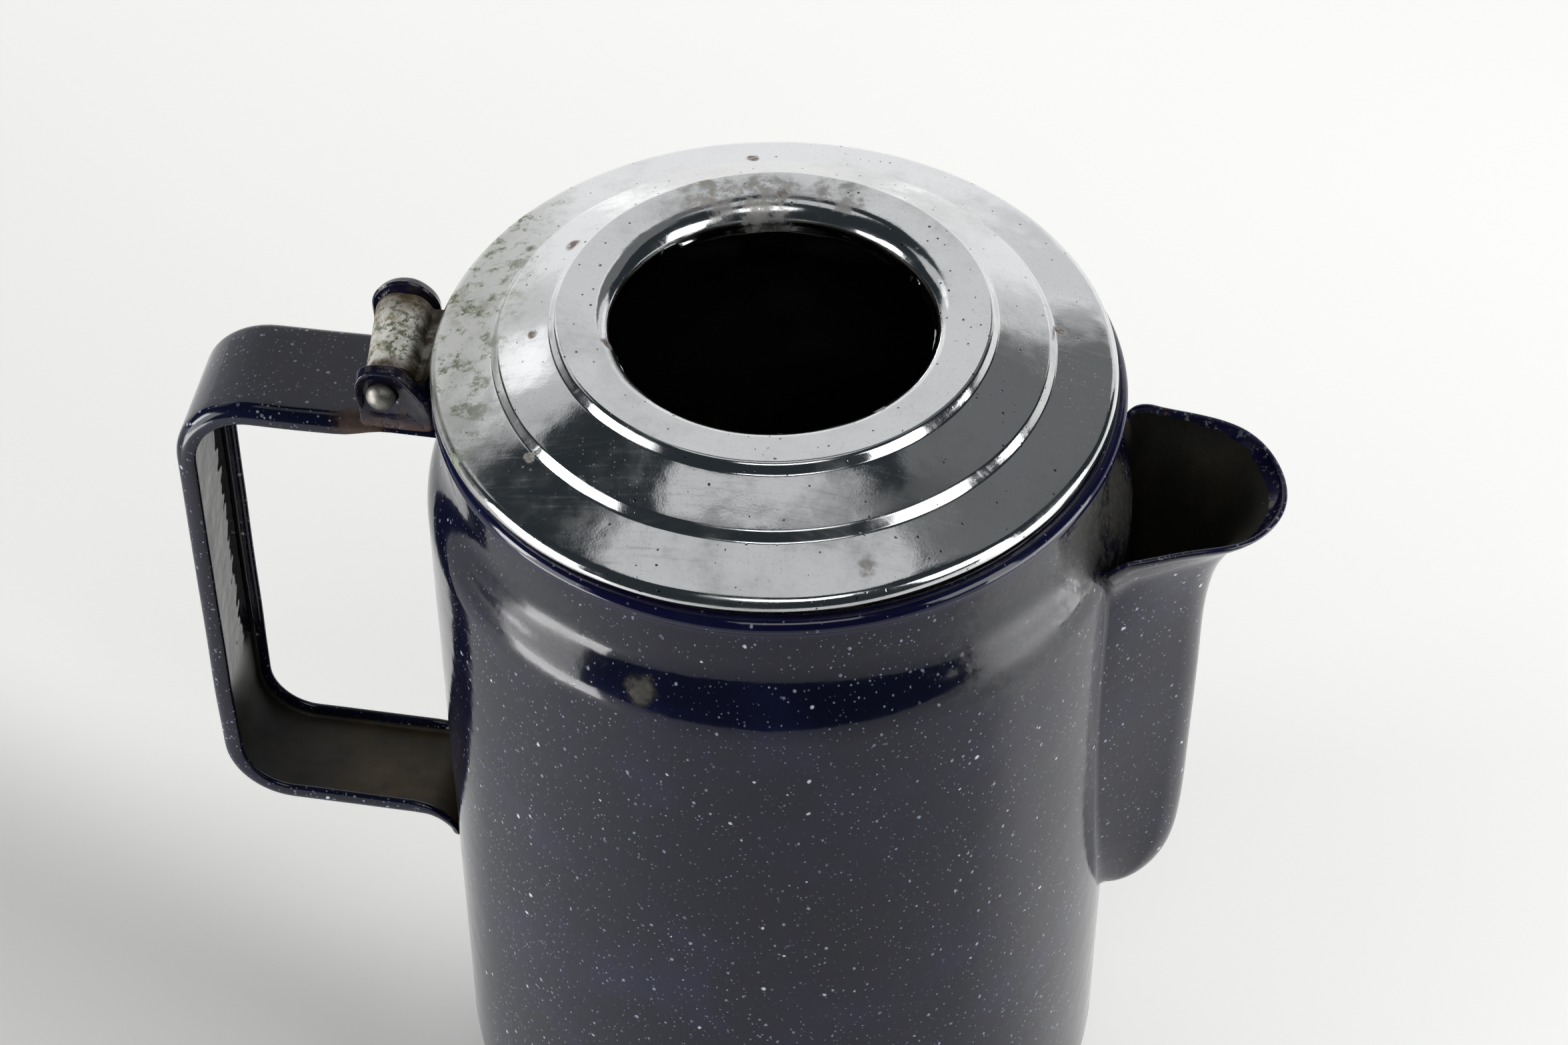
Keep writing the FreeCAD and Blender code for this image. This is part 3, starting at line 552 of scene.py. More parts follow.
# Dirt on the leaf towards both ends of the roll, and painted shade on the roll's right side.
LEAF_DIRT_AND_SHADE = (
    (1, 3.0, 7.5, (0.115, 0.078, 0.032)),
    (1, -5.5, -8.0, (0.080, 0.055, 0.030)),
    # Painted shade: dark brown where the roll's right side turns down towards the lid's edge.
    (0, -59.2, -57.6, (0.055, 0.040, 0.022)),
)
tin = tarnished("tarnished_tin", (0.72, 0.71, 0.66), (0.36, 0.31, 0.22), 0.6)
leaf_tin = tarnished("leaf_tin", (0.82, 0.80, 0.73), (0.32, 0.26, 0.16), 0.9, LEAF_DIRT_AND_SHADE)
dull_steel = tarnished("dull_steel", (0.27, 0.26, 0.235), (0.15, 0.14, 0.11), 0.1, dulling=0.15)
aluminium = spun_aluminium()


# ---------------- pot

WINDOW_LOW = pot_low[2] + 78.0
WINDOW_HIGH = pot_low[2] + 128.0
WINDOW_HALVES = (6.5, 12.0)
WINDOW_COLUMNS = 8
POT_COLUMNS = 300
BASE_ROWS = 30
POT_DENTS = (24.0, 0.10, 3.1)


def pot_side():
    """The pot's outer side from the base's middle up to the bead, as (radius, height)."""
    bend_angle = math.degrees(math.asin((SHOULDER_HIGH - SHOULDER_LOW) / 2 / SHOULDER_BEND))
    base_r = BODY_R - BASE_CORNER
    wall_heights = np.concatenate([
        np.linspace(BASE_CORNER, WINDOW_LOW, 14)[:-1],
        np.linspace(WINDOW_LOW, WINDOW_HIGH, 16)[:-1],
        np.linspace(WINDOW_HIGH, SHOULDER_LOW, 6)[:-1],
    ])
    return np.concatenate([
        np.stack([np.linspace(0.02, base_r, 12)[:-1], np.zeros(11)], 1),
        arc((base_r, BASE_CORNER), BASE_CORNER, -90, 0, 26)[:-1],
        np.stack([np.full(len(wall_heights), BODY_R), wall_heights], 1),
        arc((BODY_R - SHOULDER_BEND, SHOULDER_LOW), SHOULDER_BEND, 0, bend_angle, 14)[:-1],
        arc((NECK_R + SHOULDER_BEND, SHOULDER_HIGH), SHOULDER_BEND, 180 + bend_angle, 180, 14),
        np.stack([np.full(6, NECK_R), np.linspace(SHOULDER_HIGH + 1, BEAD_Z - 2.0, 6)], 1),
    ])


def side_radius(height):
    """The pot's outer radius at a height."""
    side = pot_side()[BASE_ROWS:]
    return np.interp(height, side[:, 1], side[:, 0])


def pot_angles(heights):
    """Column angles for each row: the columns beside the window lean with its sides."""
    half = np.interp(heights, (WINDOW_LOW, WINDOW_HIGH), WINDOW_HALVES)
    edge = np.arcsin(half / BODY_R)[:, None]
    column = np.arange(POT_COLUMNS) - WINDOW_COLUMNS
    inside_window = edge * column / WINDOW_COLUMNS
    around = edge + (FULL - 2 * edge) * (column - WINDOW_COLUMNS) / (POT_COLUMNS - 2 * WINDOW_COLUMNS)
    return np.where(column <= WINDOW_COLUMNS, inside_window, around)


def make_pot():
    """The pot shell, inside and outside, with the bead at its top and the window behind the spout."""
    outer = pot_side()
    inner = outer.copy()
    base = outer[:, 1] < BASE_CORNER - 0.01
    towards = np.array([BODY_R - BASE_CORNER, BASE_CORNER])
    for row in np.nonzero(base)[0]:
        if outer[row, 0] <= BODY_R - BASE_CORNER:
            inner[row] += (0, WALL)
        else:
            away = outer[row] - towards
            inner[row] = towards + away * (1 - WALL / BASE_CORNER)
    inner[~base, 0] -= WALL
    bead = arc((BEAD_R, BEAD_Z), BEAD_ROUND, *BEAD_DEGREES, 34)
    outline = np.concatenate([outer, bead, inner[::-1]])
    rows = len(outline)
    angles = pot_angles(outline[:, 1])
    radius = outline[:, :1]
    heights = np.broadcast_to(outline[:, 1:], angles.shape)
    points = np.stack([radius * np.cos(angles), radius * np.sin(angles), heights], -1)
    points = uneven(points.reshape(-1, 3), *POT_DENTS)
    points[:, 2] = np.clip(points[:, 2], pot_low[2], pot_high[2])
    radial = np.hypot(points[:, 0], points[:, 1])
    points[:, :2] *= np.minimum(1, BODY_R / np.maximum(radial, 1e-6))[:, None]

    low_row = int(np.argmin(np.abs(outer[:, 1] - WINDOW_LOW)))
    high_row = int(np.argmin(np.abs(outer[:, 1] - WINDOW_HIGH)))
    last_column = 2 * WINDOW_COLUMNS
    mirror = rows - 1
    row, column, quads = grid_faces(rows, POT_COLUMNS, wrap_rows=False)
    in_columns = column < last_column
    outer_window = (row >= low_row) & (row < high_row) & in_columns
    inner_window = (row >= mirror - high_row) & (row < mirror - low_row) & in_columns
    keep = ~(outer_window | inner_window)
    slots = np.where(row >= len(outer) + len(bead) - 6, 1, 0)
    slots[(row >= len(outer) - 2) & (row < len(outer) + len(bead) - 6)] = 2
    faces = quads[keep].tolist()
    face_slots = slots[keep].tolist()

    def point(r, c):
        return r * POT_COLUMNS + c

    for r in range(low_row, high_row):
        faces.append([point(r, 0), point(r + 1, 0), point(mirror - r - 1, 0), point(mirror - r, 0)])
        c = last_column
        faces.append([point(r, c), point(mirror - r, c), point(mirror - r - 1, c), point(r + 1, c)])
    for c in range(last_column):
        faces.append([point(low_row, c), point(mirror - low_row, c),
                      point(mirror - low_row, c + 1), point(low_row, c + 1)])
        faces.append([point(high_row, c), point(high_row, c + 1),
                      point(mirror - high_row, c + 1), point(mirror - high_row, c)])
    face_slots += [0] * (len(faces) - len(face_slots))
    faces += [cap[::-1] for cap in end_caps(rows, POT_COLUMNS)]
    face_slots += [0, 1]
    return make_object("pot_shell", points, faces, "pot",
                       [body_enamel, inside, rim_enamel], ["pot_body"], face_slots)


# ---------------- spout

# Horizontal sections of the spout: height, reach of the nose, radius of the nose, angle of the side walls.
SPOUT_STATIONS = np.array([
    (55.4, 55.8, 2.4, 4.0),
    (56.6, 58.7, 2.9, 6.0),
    (58.2, 61.8, 4.0, 9.0),
    (61.5, 65.0, 5.0, 13.0),
    (67.5, 67.9, 5.6, 20.0),
    (77.0, 69.3, 6.2, 28.0),
    (92.0, 69.7, 7.0, 35.0),
    (115.0, 69.9, 7.6, 39.0),
    (131.0, 70.3, 8.6, 37.0),
    (140.0, 72.4, 10.0, 31.0),
    (147.0, 76.2, 11.4, 23.0),
    (154.0, 80.4, 12.9, 15.5),
])
SPOUT_NOTCH = spout_high[2] - 5.6
SPOUT_TOP = spout_high[2] - 0.35
SPOUT_TIP = spout_high[2] - 0.6
NOSE_SHARE = 0.34
FILLET_SHARE = 0.80
FILLET = 2.4
LIP_REACH = 2.0
LIP_FALL = 2.4
LIP_BAND = 1.6


def spout_station(height):
    """Nose reach, nose radius and side angle (radians) at each height."""
    knots = np.concatenate([[0], np.cumsum(np.hypot(*np.diff(SPOUT_STATIONS[:, :2], axis=0).T))])
    fine = np.linspace(0, knots[-1], 900)
    heights = spline(knots, SPOUT_STATIONS[:, 0], fine)
    where = np.interp(height, heights, fine)
    return [spline(knots, SPOUT_STATIONS[:, k], where) for k in (1, 2)] + [
        np.radians(spline(knots, SPOUT_STATIONS[:, 3], where))]


def reach_to_circle(start, direction, radius):
    """Distance along a direction from outside a circle about the axis to its edge (0 if already inside)."""
    along = (start * direction).sum(-1)
    gap = (start ** 2).sum(-1) - radius ** 2
    return np.maximum(-along - np.sqrt(np.maximum(along ** 2 - gap, 0)), 0) * (gap > 0)


def spout_faces(across, height):
    """Outer place, inner place and outward direction on the spout's wall.

    The value of across is -1 and 1 at the pot and 0 at the nose. Near the pot the outer face runs
    into the pot's side through a fillet, as enamel fills such a corner.
    """
    nose, radius, angle = spout_station(height)
    share = np.abs(across)
    centre = np.stack([nose - radius, 0 * nose], -1)
    sweep = np.minimum(share / NOSE_SHARE, 1) * (math.pi / 2 - angle)
    normal = np.stack([np.cos(sweep), np.sin(sweep)], -1)
    side_normal = np.stack([np.sin(angle), np.cos(angle)], -1)
    touch = centre + side_normal * radius[..., None]
    along = np.stack([-np.cos(angle), np.sin(angle)], -1)
    pot = side_radius(height)
    fillet = np.clip((nose - pot) * 0.5, 0.05, FILLET)
    to_fillet = reach_to_circle(touch + side_normal * fillet[..., None], along, pot + fillet)
    to_pot = np.maximum(reach_to_circle(touch, along, pot - 0.45), to_fillet)
    on_line = np.clip((share - NOSE_SHARE) / (FILLET_SHARE - NOSE_SHARE), 0, 1)
    on_fillet = np.clip((share - FILLET_SHARE) / (1 - FILLET_SHARE), 0, 1)
    wall = centre + normal * radius[..., None]
    outer = wall + along * (to_fillet * on_line)[..., None]
    inner = wall + along * (to_fillet * on_line + (to_pot - to_fillet) * on_fillet)[..., None]
    middle = touch + along * to_fillet[..., None] + side_normal * fillet[..., None]
    first = np.arctan2(-side_normal[..., 1], -side_normal[..., 0])
    last = np.arctan2(-middle[..., 1], -middle[..., 0])
    turn = first + ((last - first + math.pi) % FULL - math.pi) * on_fillet
    curved = middle + fillet[..., None] * np.stack([np.cos(turn), np.sin(turn)], -1)
    curved -= 0.08 * on_fillet[..., None] * curved / np.linalg.norm(curved, axis=-1)[..., None]
    outer = np.where((on_fillet > 0)[..., None], curved, outer)
    for points in (outer, inner, normal):
        points[..., 1] *= np.sign(across)
    return outer, inner, normal


def spout_edge_height(across):
    """Height of the spout's top edge: low at the pot, up round a corner, then almost level to the tip."""
    height = np.full(len(across), SPOUT_TIP)
    notch_x = BODY_R - 4.0
    corner_x = notch_x + 5.4
    for _ in range(14):
        x = spout_faces(across, height)[0][:, 0]
        short = (corner_x - np.clip(x, notch_x, corner_x)) / (corner_x - notch_x)
        rise = np.sqrt(np.clip(1 - short ** 2, 0, 1))
        level = np.clip((x - corner_x) / (spout_high[0] - corner_x), 0, 1)
        top = SPOUT_TOP + (SPOUT_TIP - SPOUT_TOP) * level + 1.3 * np.sin(math.pi * level) ** 1.2
        height = 0.5 * height + 0.5 * (SPOUT_NOTCH + (top - SPOUT_NOTCH) * rise)
    return height


def make_spout():
    """The folded spout with its flared lip, open towards the pot."""
    across = np.sin(np.linspace(-1, 1, 121) * math.pi / 2)
    across = 0.35 * across + 0.65 * np.linspace(-1, 1, 121)
    top = spout_edge_height(across)
    levels = np.concatenate([np.linspace(0, 0.9, 84)[:-1], np.linspace(0.9, 1, 30)])
    low = SPOUT_STATIONS[0, 0] + 0.1
    heights = low + (top[None, :] - low) * levels[:, None]
    grid = np.broadcast_to(across, heights.shape)
    outer, inner, normal = spout_faces(grid, heights)
    below = top[None, :] - heights
    share = np.abs(grid)
    side = smooth(0.1, 0.4, share)
    flare = LIP_REACH * (1 + 0.35 * side) * smooth(1.0, 0.74, share)
    flare = flare * np.exp(-(below / (LIP_FALL * (1 + 0.9 * side))) ** 2)
    outer = outer + normal * flare[..., None]
    inner = inner + normal * (flare - WALL)[..., None]
    outer = np.concatenate([outer, heights[..., None]], -1)
    inner_heights = np.maximum(heights, low + WALL * (1 - smooth(0, 8, heights - low)))
    inner = np.concatenate([inner, inner_heights[..., None]], -1)
    out = (outer[-1] - inner[-1]) / 2
    turns = np.radians((30, 60, 90, 120, 150))[:, None, None]
    rise = np.array([0, 0, WALL * 0.45])
    edge = (outer[-1] + inner[-1]) / 2 + out * np.cos(turns) + rise * np.sin(turns)
    loop = np.concatenate([outer, edge, inner[::-1]])
    rows = len(loop)
    columns = len(across)
    row, column, quads = grid_faces(rows, columns, wrap_columns=False)
    faces = quads[:, ::-1].tolist()
    first_inside = len(outer) + 5
    from_top = np.concatenate([np.full_like(below, 9.0), np.zeros((5, columns)), below[::-1]])
    band = from_top[row, column] < LIP_BAND * (1 - 0.6 * smooth(0.1, 0.5, share[0, column]))
    slots = np.where(band, 2, np.where(row >= first_inside, 1, 0))
    faces.append([r * columns for r in range(rows)])
    faces.append([r * columns + columns - 1 for r in reversed(range(rows))])
    points = uneven(loop.reshape(-1, 3), *POT_DENTS)
    points[:, 0] = np.minimum(points[:, 0], spout_high[0])
    return make_object("spout_trough", points, faces, "pot",
                       [body_enamel, spout_inside, lip_enamel], ["spout"], slots.tolist() + [0, 0])


def spout_inside_material():
    """Matt brown-black inside of the spout with a few pale chips."""
    material, n = new_material("spout_inside")
    film = n.noise(0.12, 4.0)
    colour = n.mix(n.ramp(film, 0.4, 0.75), (0.017, 0.0165, 0.013), (0.034, 0.029, 0.019))
    dots, _ = n.specks(0.42, 0.16, 0.16)
    colour = n.mix(n.times(dots, 0.5), colour, (0.20, 0.21, 0.22))
    n.feed(Base_Color=colour, Roughness=0.62, Normal=n.bump(n.noise(0.9, 3.0), 0.0001))
    n.feed(Specular_IOR_Level=0.3)
    return material


def lip_material():
    """Navy edge of the spout with white chips and small rust spots."""
    material, n = new_material("lip_enamel")
    chips = n.ramp(n.noise(0.9, 4.0, 0.7), 0.56, 0.63)
    rust = n.ramp(n.noise(0.5, 3.0, 0.6), 0.68, 0.72)
    colour = n.mix(n.ramp(n.noise(0.1, 2.0), 0.3, 0.7), (0.006, 0.006, 0.030), (0.012, 0.012, 0.060))
    colour = n.mix(n.times(chips, 0.7), colour, (0.35, 0.37, 0.42))
    colour = n.mix(rust, colour, RUST)
    rough = n.ramp(chips, 0.0, 1.0, 0.12, 0.5)
    n.feed(Base_Color=colour, Roughness=rough, Normal=n.bump(chips, 0.00008))
    return material


spout_inside = spout_inside_material()
lip_enamel = lip_material()


# ---------------- handle

STRAP_DEPTH = 2.9
STRAP_EDGE_R = 2.1


def strap_section():
    """Closed section of the channel strap: across, and inward from its outer face."""
    half = STRAP_HALF
    path = rounded([
        (-half, STRAP_DEPTH, 0),
        (-half, 0, STRAP_EDGE_R),
        (half, 0, STRAP_EDGE_R),
        (half, STRAP_DEPTH, 0),
    ], 9)
    return thickened(resampled(path, 2.0), STRAP_SHEET, 5)


def make_strap():
    """The channel strap, bent into the handle and flattened where it meets the pot."""
    spine = rounded([
        (-side_radius(STRAP_TOP) + 0.5, STRAP_TOP, 0),
        (STRAP_X, STRAP_TOP, 13.5),
        (STRAP_X, STRAP_LOW, 12.0),
        (-BODY_R - 3.2, STRAP_LOW - 0.8, 5.0),
        (-BODY_R - 1.2, strap_low[2] - 0.2, 1.5),
        (-BODY_R - 0.9, strap_low[2] - 1.2, 0),
    ], 16)
    spine = resampled(spine, 2.0)
    inward = normals_of(spine)
    section = strap_section()
    deep = np.maximum(section[:, 1] - 1.6, 0)
    rows = []
    for place, normal in zip(spine, inward):
        off_pot = -place[0] - BODY_R
        lower = place[1] < (STRAP_TOP + STRAP_LOW) / 2
        near_pot = float(smooth(7.0, 0.5, off_pot) if lower else smooth(13.0, 4.0, off_pot))
        shallow = 0.95 * near_pot
        narrow = 0.055 * float(smooth(STRAP_LOW + 30, STRAP_LOW + 8, place[1]))
        across = section[:, 0] * (1 - narrow + (0.06 * near_pot if lower else 0.0))
        depth = section[:, 1] - deep * shallow
        rows.append(np.stack([place[0] + normal[0] * depth, across, place[1] + normal[1] * depth], 1))
    loop = np.array(rows)
    count = loop.shape[1]
    row, column, quads = grid_faces(len(rows), count, wrap_rows=False)
    faces = quads[:, ::-1].tolist()
    faces += end_caps(len(rows), count)
    points = uneven(loop.reshape(-1, 3), 18.0, 0.20, 5.5)
    points[:, 0] = np.maximum(points[:, 0], STRAP_X)
    inner_side = (column > count // 2 + 1) & (column < count - 6)
    slots = np.where(inner_side, 1, 0).tolist() + [0, 0]
    return make_object("handle_channel", points, faces, "pot",
                       [strap_enamel, strap_inside], ["handle_strap"], slots)


def strap_inside_material():
    """Inside of the strap: black gloss high up, dull and ochre-stained along the lower leg."""
    material, n = new_material("strap_inside")
    low = n.ramp(n.axis(2), 0.074, 0.092, 1.0, 0.0)
    towards_pot = n.ramp(n.axis(0), -0.090, -0.068, 0.25, 1.0)
    patches = n.ramp(n.noise(0.12, 4.0), 0.3, 0.7, 0.4, 1.0)
    stain = n.times(n.times(low, towards_pot), patches)
    rust, _ = n.specks(0.22, 0.16, 0.10)
    colour = n.mix(stain, (0.004, 0.004, 0.005), (0.075, 0.052, 0.021))
    colour = n.mix(n.times(rust, 0.8), colour, (0.16, 0.05, 0.015))
    rough = n.ramp(low, 0.0, 1.0, 0.07, 0.55)
    waves = n.noise(0.13, 2.0)
    n.feed(Base_Color=colour, Roughness=rough, Normal=n.bump(waves, 0.0004))
    return material


def ear_material():
    """Speckled enamel of the ears, grimy in patches and rusty along the lower edge."""
    material, n = new_material("ear_enamel")
    low_edge = n.ramp(n.axis(2), (STRAP_TOP - 3.5) * MM, (STRAP_TOP + 2.6) * MM, 1.0, 0.0)
    rust = n.times(low_edge, n.ramp(n.noise(0.5, 5.0, 0.7), 0.34, 0.5))
    fine, _ = n.specks(1.1, 0.26, 0.45)
    colour = n.mix(n.ramp(n.noise(0.3, 3.0), 0.35, 0.7), (0.006, 0.006, 0.018), (0.010, 0.010, 0.034))
    grime = n.ramp(n.noise(0.22, 5.0, 0.7), 0.44, 0.62, 0.0, 0.6)
    colour = n.mix(grime, colour, (0.040, 0.030, 0.020))
    colour = n.mix(n.times(fine, 0.8), colour, SPECK)
    colour = n.mix(rust, colour, (0.12, 0.05, 0.022))
    rough = n.ramp(n.most(rust, n.times(grime, 0.5)), 0.0, 1.0, 0.14, 0.7)
    height_map = n.plus(n.noise(0.5, 3.0), n.times(rust, 0.6))
    n.feed(Base_Color=colour, Roughness=rough, Normal=n.bump(height_map, 0.00018))
    return material


strap_inside = strap_inside_material()
ear_enamel = ear_material()

EAR_SHEET = 1.35
EAR_HOLE = 2.1
# Outlines about the pin, along X and Z, with bend radii. The front ear leans towards the pot.
EAR_FRONT = (
    (1.0, -7.7, 0),
    (-4.2, -7.7, 1.2),
    (-4.5, 5.7, 4.2),
    (3.2, 5.7, 2.6),
    (7.9, -0.2, 2.0),
    (8.3, -7.7, 1.0),
    (1.1, -7.7, 0),
)
EAR_BACK = (
    (0.0, -7.7, 0),
    (-6.2, -7.7, 1.0),
    (-6.5, 5.75, 5.6),
    (4.7, 5.75, 5.4),
    (5.6, -7.7, 1.0),
    (0.1, -7.7, 0),
)


def make_ear(name, side, corners):
    """One hinge ear: a round-headed plate, dished round the pin, with a raised rolled rim."""
    outline = resampled(rounded(corners, 14), 0.6)[:-1]
    directions = outline / np.linalg.norm(outline, axis=1)[:, None]
    hole = directions * EAR_HOLE
    shares = np.array([0, 0.15, 0.3, 0.42, 0.52, 0.61, 0.69, 0.76, 0.82, 0.87, 0.915, 0.95, 0.98, 1.0])
    share = shares[:, None]
    upper = smooth(-6.0, 0.5, outline[:, 1])[None, :]
    rim = 0.95 * np.exp(-((share - 0.80) / 0.15) ** 2) * upper
    recess = -0.35 * smooth(0.60, 0.30, share)
    rounding = -0.8 * smooth(0.88, 1.0, share) ** 1.5
    face = rim + recess + rounding
    back = 0.3 * rim + recess - EAR_SHEET - rounding * 0.7
    plan = hole[None] + (outline - hole)[None] * share[..., None]
    front_rows = np.concatenate([plan, face[..., None]], -1)
    back_rows = np.concatenate([plan, back[..., None]], -1)[::-1]
    loop = np.concatenate([front_rows, back_rows])
    points = np.stack([
        hinge[0] + loop[..., 0],
        side * (STRAP_HALF - 0.30 + loop[..., 2]),
        hinge[2] + loop[..., 1],
    ], -1).reshape(-1, 3)
    faces = grid_faces(len(loop), len(outline))[2]
    if side > 0:
        faces = faces[:, ::-1]
    points = uneven(points, 5.0, 0.12, 2.0 + side)
    return make_object(name, points, faces, "pot", [ear_enamel], ["handle_strap"])


PIN_R = 2.0
PIN_WAIST = 1.7
LEAF_SHEET = 0.7
ROLL_DEGREES = 425
ROLL_TIGHTENS = 1.45


def make_pin():
    """The hinge pin with a domed head at each end, thinner inside the knuckle."""
    half = (pin_high[1] - pin_low[1]) / 2
    head = (pin_high[0] - pin_low[0]) / 2
    face = STRAP_HALF + 0.02
    turns = np.radians(np.linspace(4, 88, 12))
    dome = np.stack([head * np.cos(turns), face + (half - face) * np.sin(turns)], 1)
    shank = [
        (PIN_WAIST, 0),
        (PIN_WAIST, 8.7),
        (PIN_R, 9.1),
        (PIN_R, face - 0.3),
        (head - 0.25, face - 0.25),
        (head, face),
    ]
    side = resampled(np.concatenate([shank, dome]), 0.6)
    outline = np.concatenate([(side * (1, -1))[::-1], side[1:]])
    angles = np.linspace(0, FULL, 48, endpoint=False)
    columns = len(angles)
    radius = outline[:, :1]
    points = np.stack([
        hinge[0] + radius * np.cos(angles),
        np.broadcast_to(hinge[1] + outline[:, 1:], (len(outline), columns)),
        hinge[2] + radius * np.sin(angles)], -1).reshape(-1, 3)
    faces = grid_faces(len(outline), columns, wrap_rows=False)[2].tolist()
    faces += [cap[::-1] for cap in end_caps(len(outline), columns)]
    points = uneven(points, 1.6, 0.05, 4.4)
    return make_object("pin_domed", points, faces, "pot", [dull_steel], ["hinge_pin"])


def make_leaf():
    """The hinge leaf: rolled round the pin, running under the lid's edge, and turned down inside."""
    level = leaf_high[2] - LEAF_SHEET / 2
    outer = level - hinge[2]
    wraps = math.radians(ROLL_DEGREES)
    turn = np.linspace(0, wraps, 90)
    radius = outer - ROLL_TIGHTENS * turn / wraps
    angle = math.pi / 2 + turn
    roll = np.stack([hinge[0] + radius * np.cos(angle), hinge[2] + radius * np.sin(angle)], 1)
    tab_x = LID_X - (collar_high[0] - collar_low[0]) / 2 + 3.8 - LEAF_SHEET / 2
    lead = rounded([
        (tab_x, leaf_low[2], 0),
        (tab_x, level, 0.6),
        (LID_X - LID_R + 0.7, level, 0.5),
        (LID_X - LID_R - 0.8, level - 2.3, 0.7),
        (hinge[0] + 4.5, level - 2.6, 0.7),
        (hinge[0] + 3.5, level, 2.6),
        (hinge[0], level, 0),
    ], 8)
    path = resampled(np.concatenate([lead[:-1], roll]), 0.6)
    outline = thickened(path - normals_of(path) * LEAF_SHEET / 2, LEAF_SHEET, 3)
    half = (leaf_high[1] - leaf_low[1]) / 2
    nearest = np.array([path[np.argmin(np.hypot(*(path - point).T))] for point in outline])
    rows = []
    for y in half * np.array([-1, -0.985, -0.95, -0.7, -0.4, 0, 0.4, 0.7, 0.95, 0.985, 1]):
        shrink = 0.32 * smooth(half * 0.95, half, abs(y))
        flat = outline + (nearest - outline) * shrink
        in_roll = smooth(6.5, 3.5, flat[:, 0] - hinge[0])
        wider = 1 + 0.09 * smooth(-half, half, y) * in_roll
        across = hinge[0] + (flat[:, 0] - hinge[0]) * wider - (0.09 * y + 0.2) * in_roll
        upward = hinge[2] + (flat[:, 1] - hinge[2]) * wider
        rows.append(np.stack([across, np.full(len(flat), y), upward], 1))
    loop = np.array(rows)
    count = loop.shape[1]
    faces = grid_faces(len(rows), count, wrap_rows=False)[2].tolist()
    pairs = len(path)
    for end, order in ((0, 1), (len(rows) - 1, -1)):
        base = end * count
        for k in range(pairs - 1):
            quad = [base + k, base + k + 1, base + other_side(k + 1, pairs), base + other_side(k, pairs)]
            faces.append(quad[::order])
        cap_out = list(range(base + pairs - 1, base + pairs + 4))
        cap_in = [*range(base + other_side(0, pairs), base + 2 * pairs + 6), base]
        faces.append(cap_out[::order])
        faces.append(cap_in[::order])
    points = uneven(loop.reshape(-1, 3), 4.0, 0.10, 9.3)
    return make_object("hinge_roll", points, faces, "lid", [leaf_tin], ["lid_hinge_leaf"])


def other_side(index, count):
    """Index of the point across the sheet from a path's point, in a thickened outline with 3-point ends."""
    return count + 3 + (count - 1 - index)


# ---------------- lid

COLLAR_BRIM = 4.5
COLLAR_SHEET = 0.7
HOLE_EDGE = lid_high[2] - 5.8
# Tears in the edge of the hole: angle and half width in radians, height in millimetres.
HOLE_TEARS = ((2.45, 0.10, 1.9), (0.62, 0.09, 1.7), (0.05, 0.13, 1.3), (-0.45, 0.10, 1.0))


def lid_side():
    """Outer face of the lid from its lower edge over the three rings into the hole."""
    top = LID_TOP
    return rounded([
        (LID_R, LID_LOW, 0),
        (LID_R, LID_LOW + 1.75, 1.9),
        (LID_R - 9.9, top - 6.75, 0.75),
        (LID_R - 10.9, top - 5.15, 0.9),
        (LID_R - 19.1, top - 1.60, 0.75),
        (LID_R - 20.1, top + 0.02, 0.9),
        (HOLE_R, top - 0.6, 3.6),
        (HOLE_R, HOLE_EDGE, 0),
    ], 12)


def ragged_hole(points):
    """Break the rolled-down edge of the hole: chips, tears and a wavy lower edge."""
    x = points[:, 0] - LID_X
    y = points[:, 1]
    radius = np.hypot(x, y)
    angle = np.arctan2(y, x)
    depth = smooth(HOLE_EDGE + 2.4, HOLE_EDGE, points[:, 2]) * (radius < HOLE_R + 2.0)
    spots = [Vector((math.cos(a) * 3, math.sin(a) * 3, 1.7)) for a in angle]
    waves = np.array([noise.fractal(spot, 1.0, 2.0, 4) for spot in spots])
    lift = 0.9 + 0.9 * waves
    for centre, width, height in HOLE_TEARS:
        away = np.abs((angle - centre + math.pi) % FULL - math.pi)
        lift = lift + height * smooth(width, width * 0.5, away)
    points[:, 2] += depth * np.clip(lift, 0, 2.9)
    inwards = 0.35 * depth * waves
    points[:, 0] -= inwards * np.cos(angle)
    points[:, 1] -= inwards * np.sin(angle)
    return points


def dented(points):
    """The lid's soft dents and the ragged edge of its hole, kept inside the CAD box."""
    points = ragged_hole(points)
    points = uneven(points, 16.0, 0.12, 1.3)
    points = uneven(points, 6.0, 0.03, 7.7)
    radius = np.hypot(points[:, 0] - LID_X, points[:, 1])
    share = np.minimum(1, LID_R / radius)
    points[:, 0] = LID_X + (points[:, 0] - LID_X) * share
    points[:, 1] *= share
    points[:, 2] = np.clip(points[:, 2], LID_LOW, LID_TOP)
    return points


def make_lid():
    """The pressed lid as one sheet, from its hem to the torn edge of the hole."""
    path = resampled(lid_side(), 0.8)
    hem = np.array([(LID_R - 1.9, LID_LOW + 0.02), (LID_R - 0.5, LID_LOW)])
    outline = thickened(np.concatenate([hem, path]), LID_SHEET, 5)
    return turned("lid_cap", outline, "lid", [chrome_plate], ["lid_shell"],
                  LID_X, 360, dented)


def make_collar():
    """The ring under the lid that drops into the neck."""
    radius = (collar_high[0] - collar_low[0]) / 2
    path = rounded([
        (radius - COLLAR_BRIM, collar_low[2], 0),
        (radius - COLLAR_BRIM, collar_high[2], 0.8),
        (radius, collar_high[2], 0),
    ], 8)
    outline = thickened(resampled(path, 1.5)[::-1], COLLAR_SHEET, 4)
    return turned("collar_ring", outline, "lid", [tin], ["lid_collar"], LID_X, 180)


# ---------------- pieces kept from the CAD

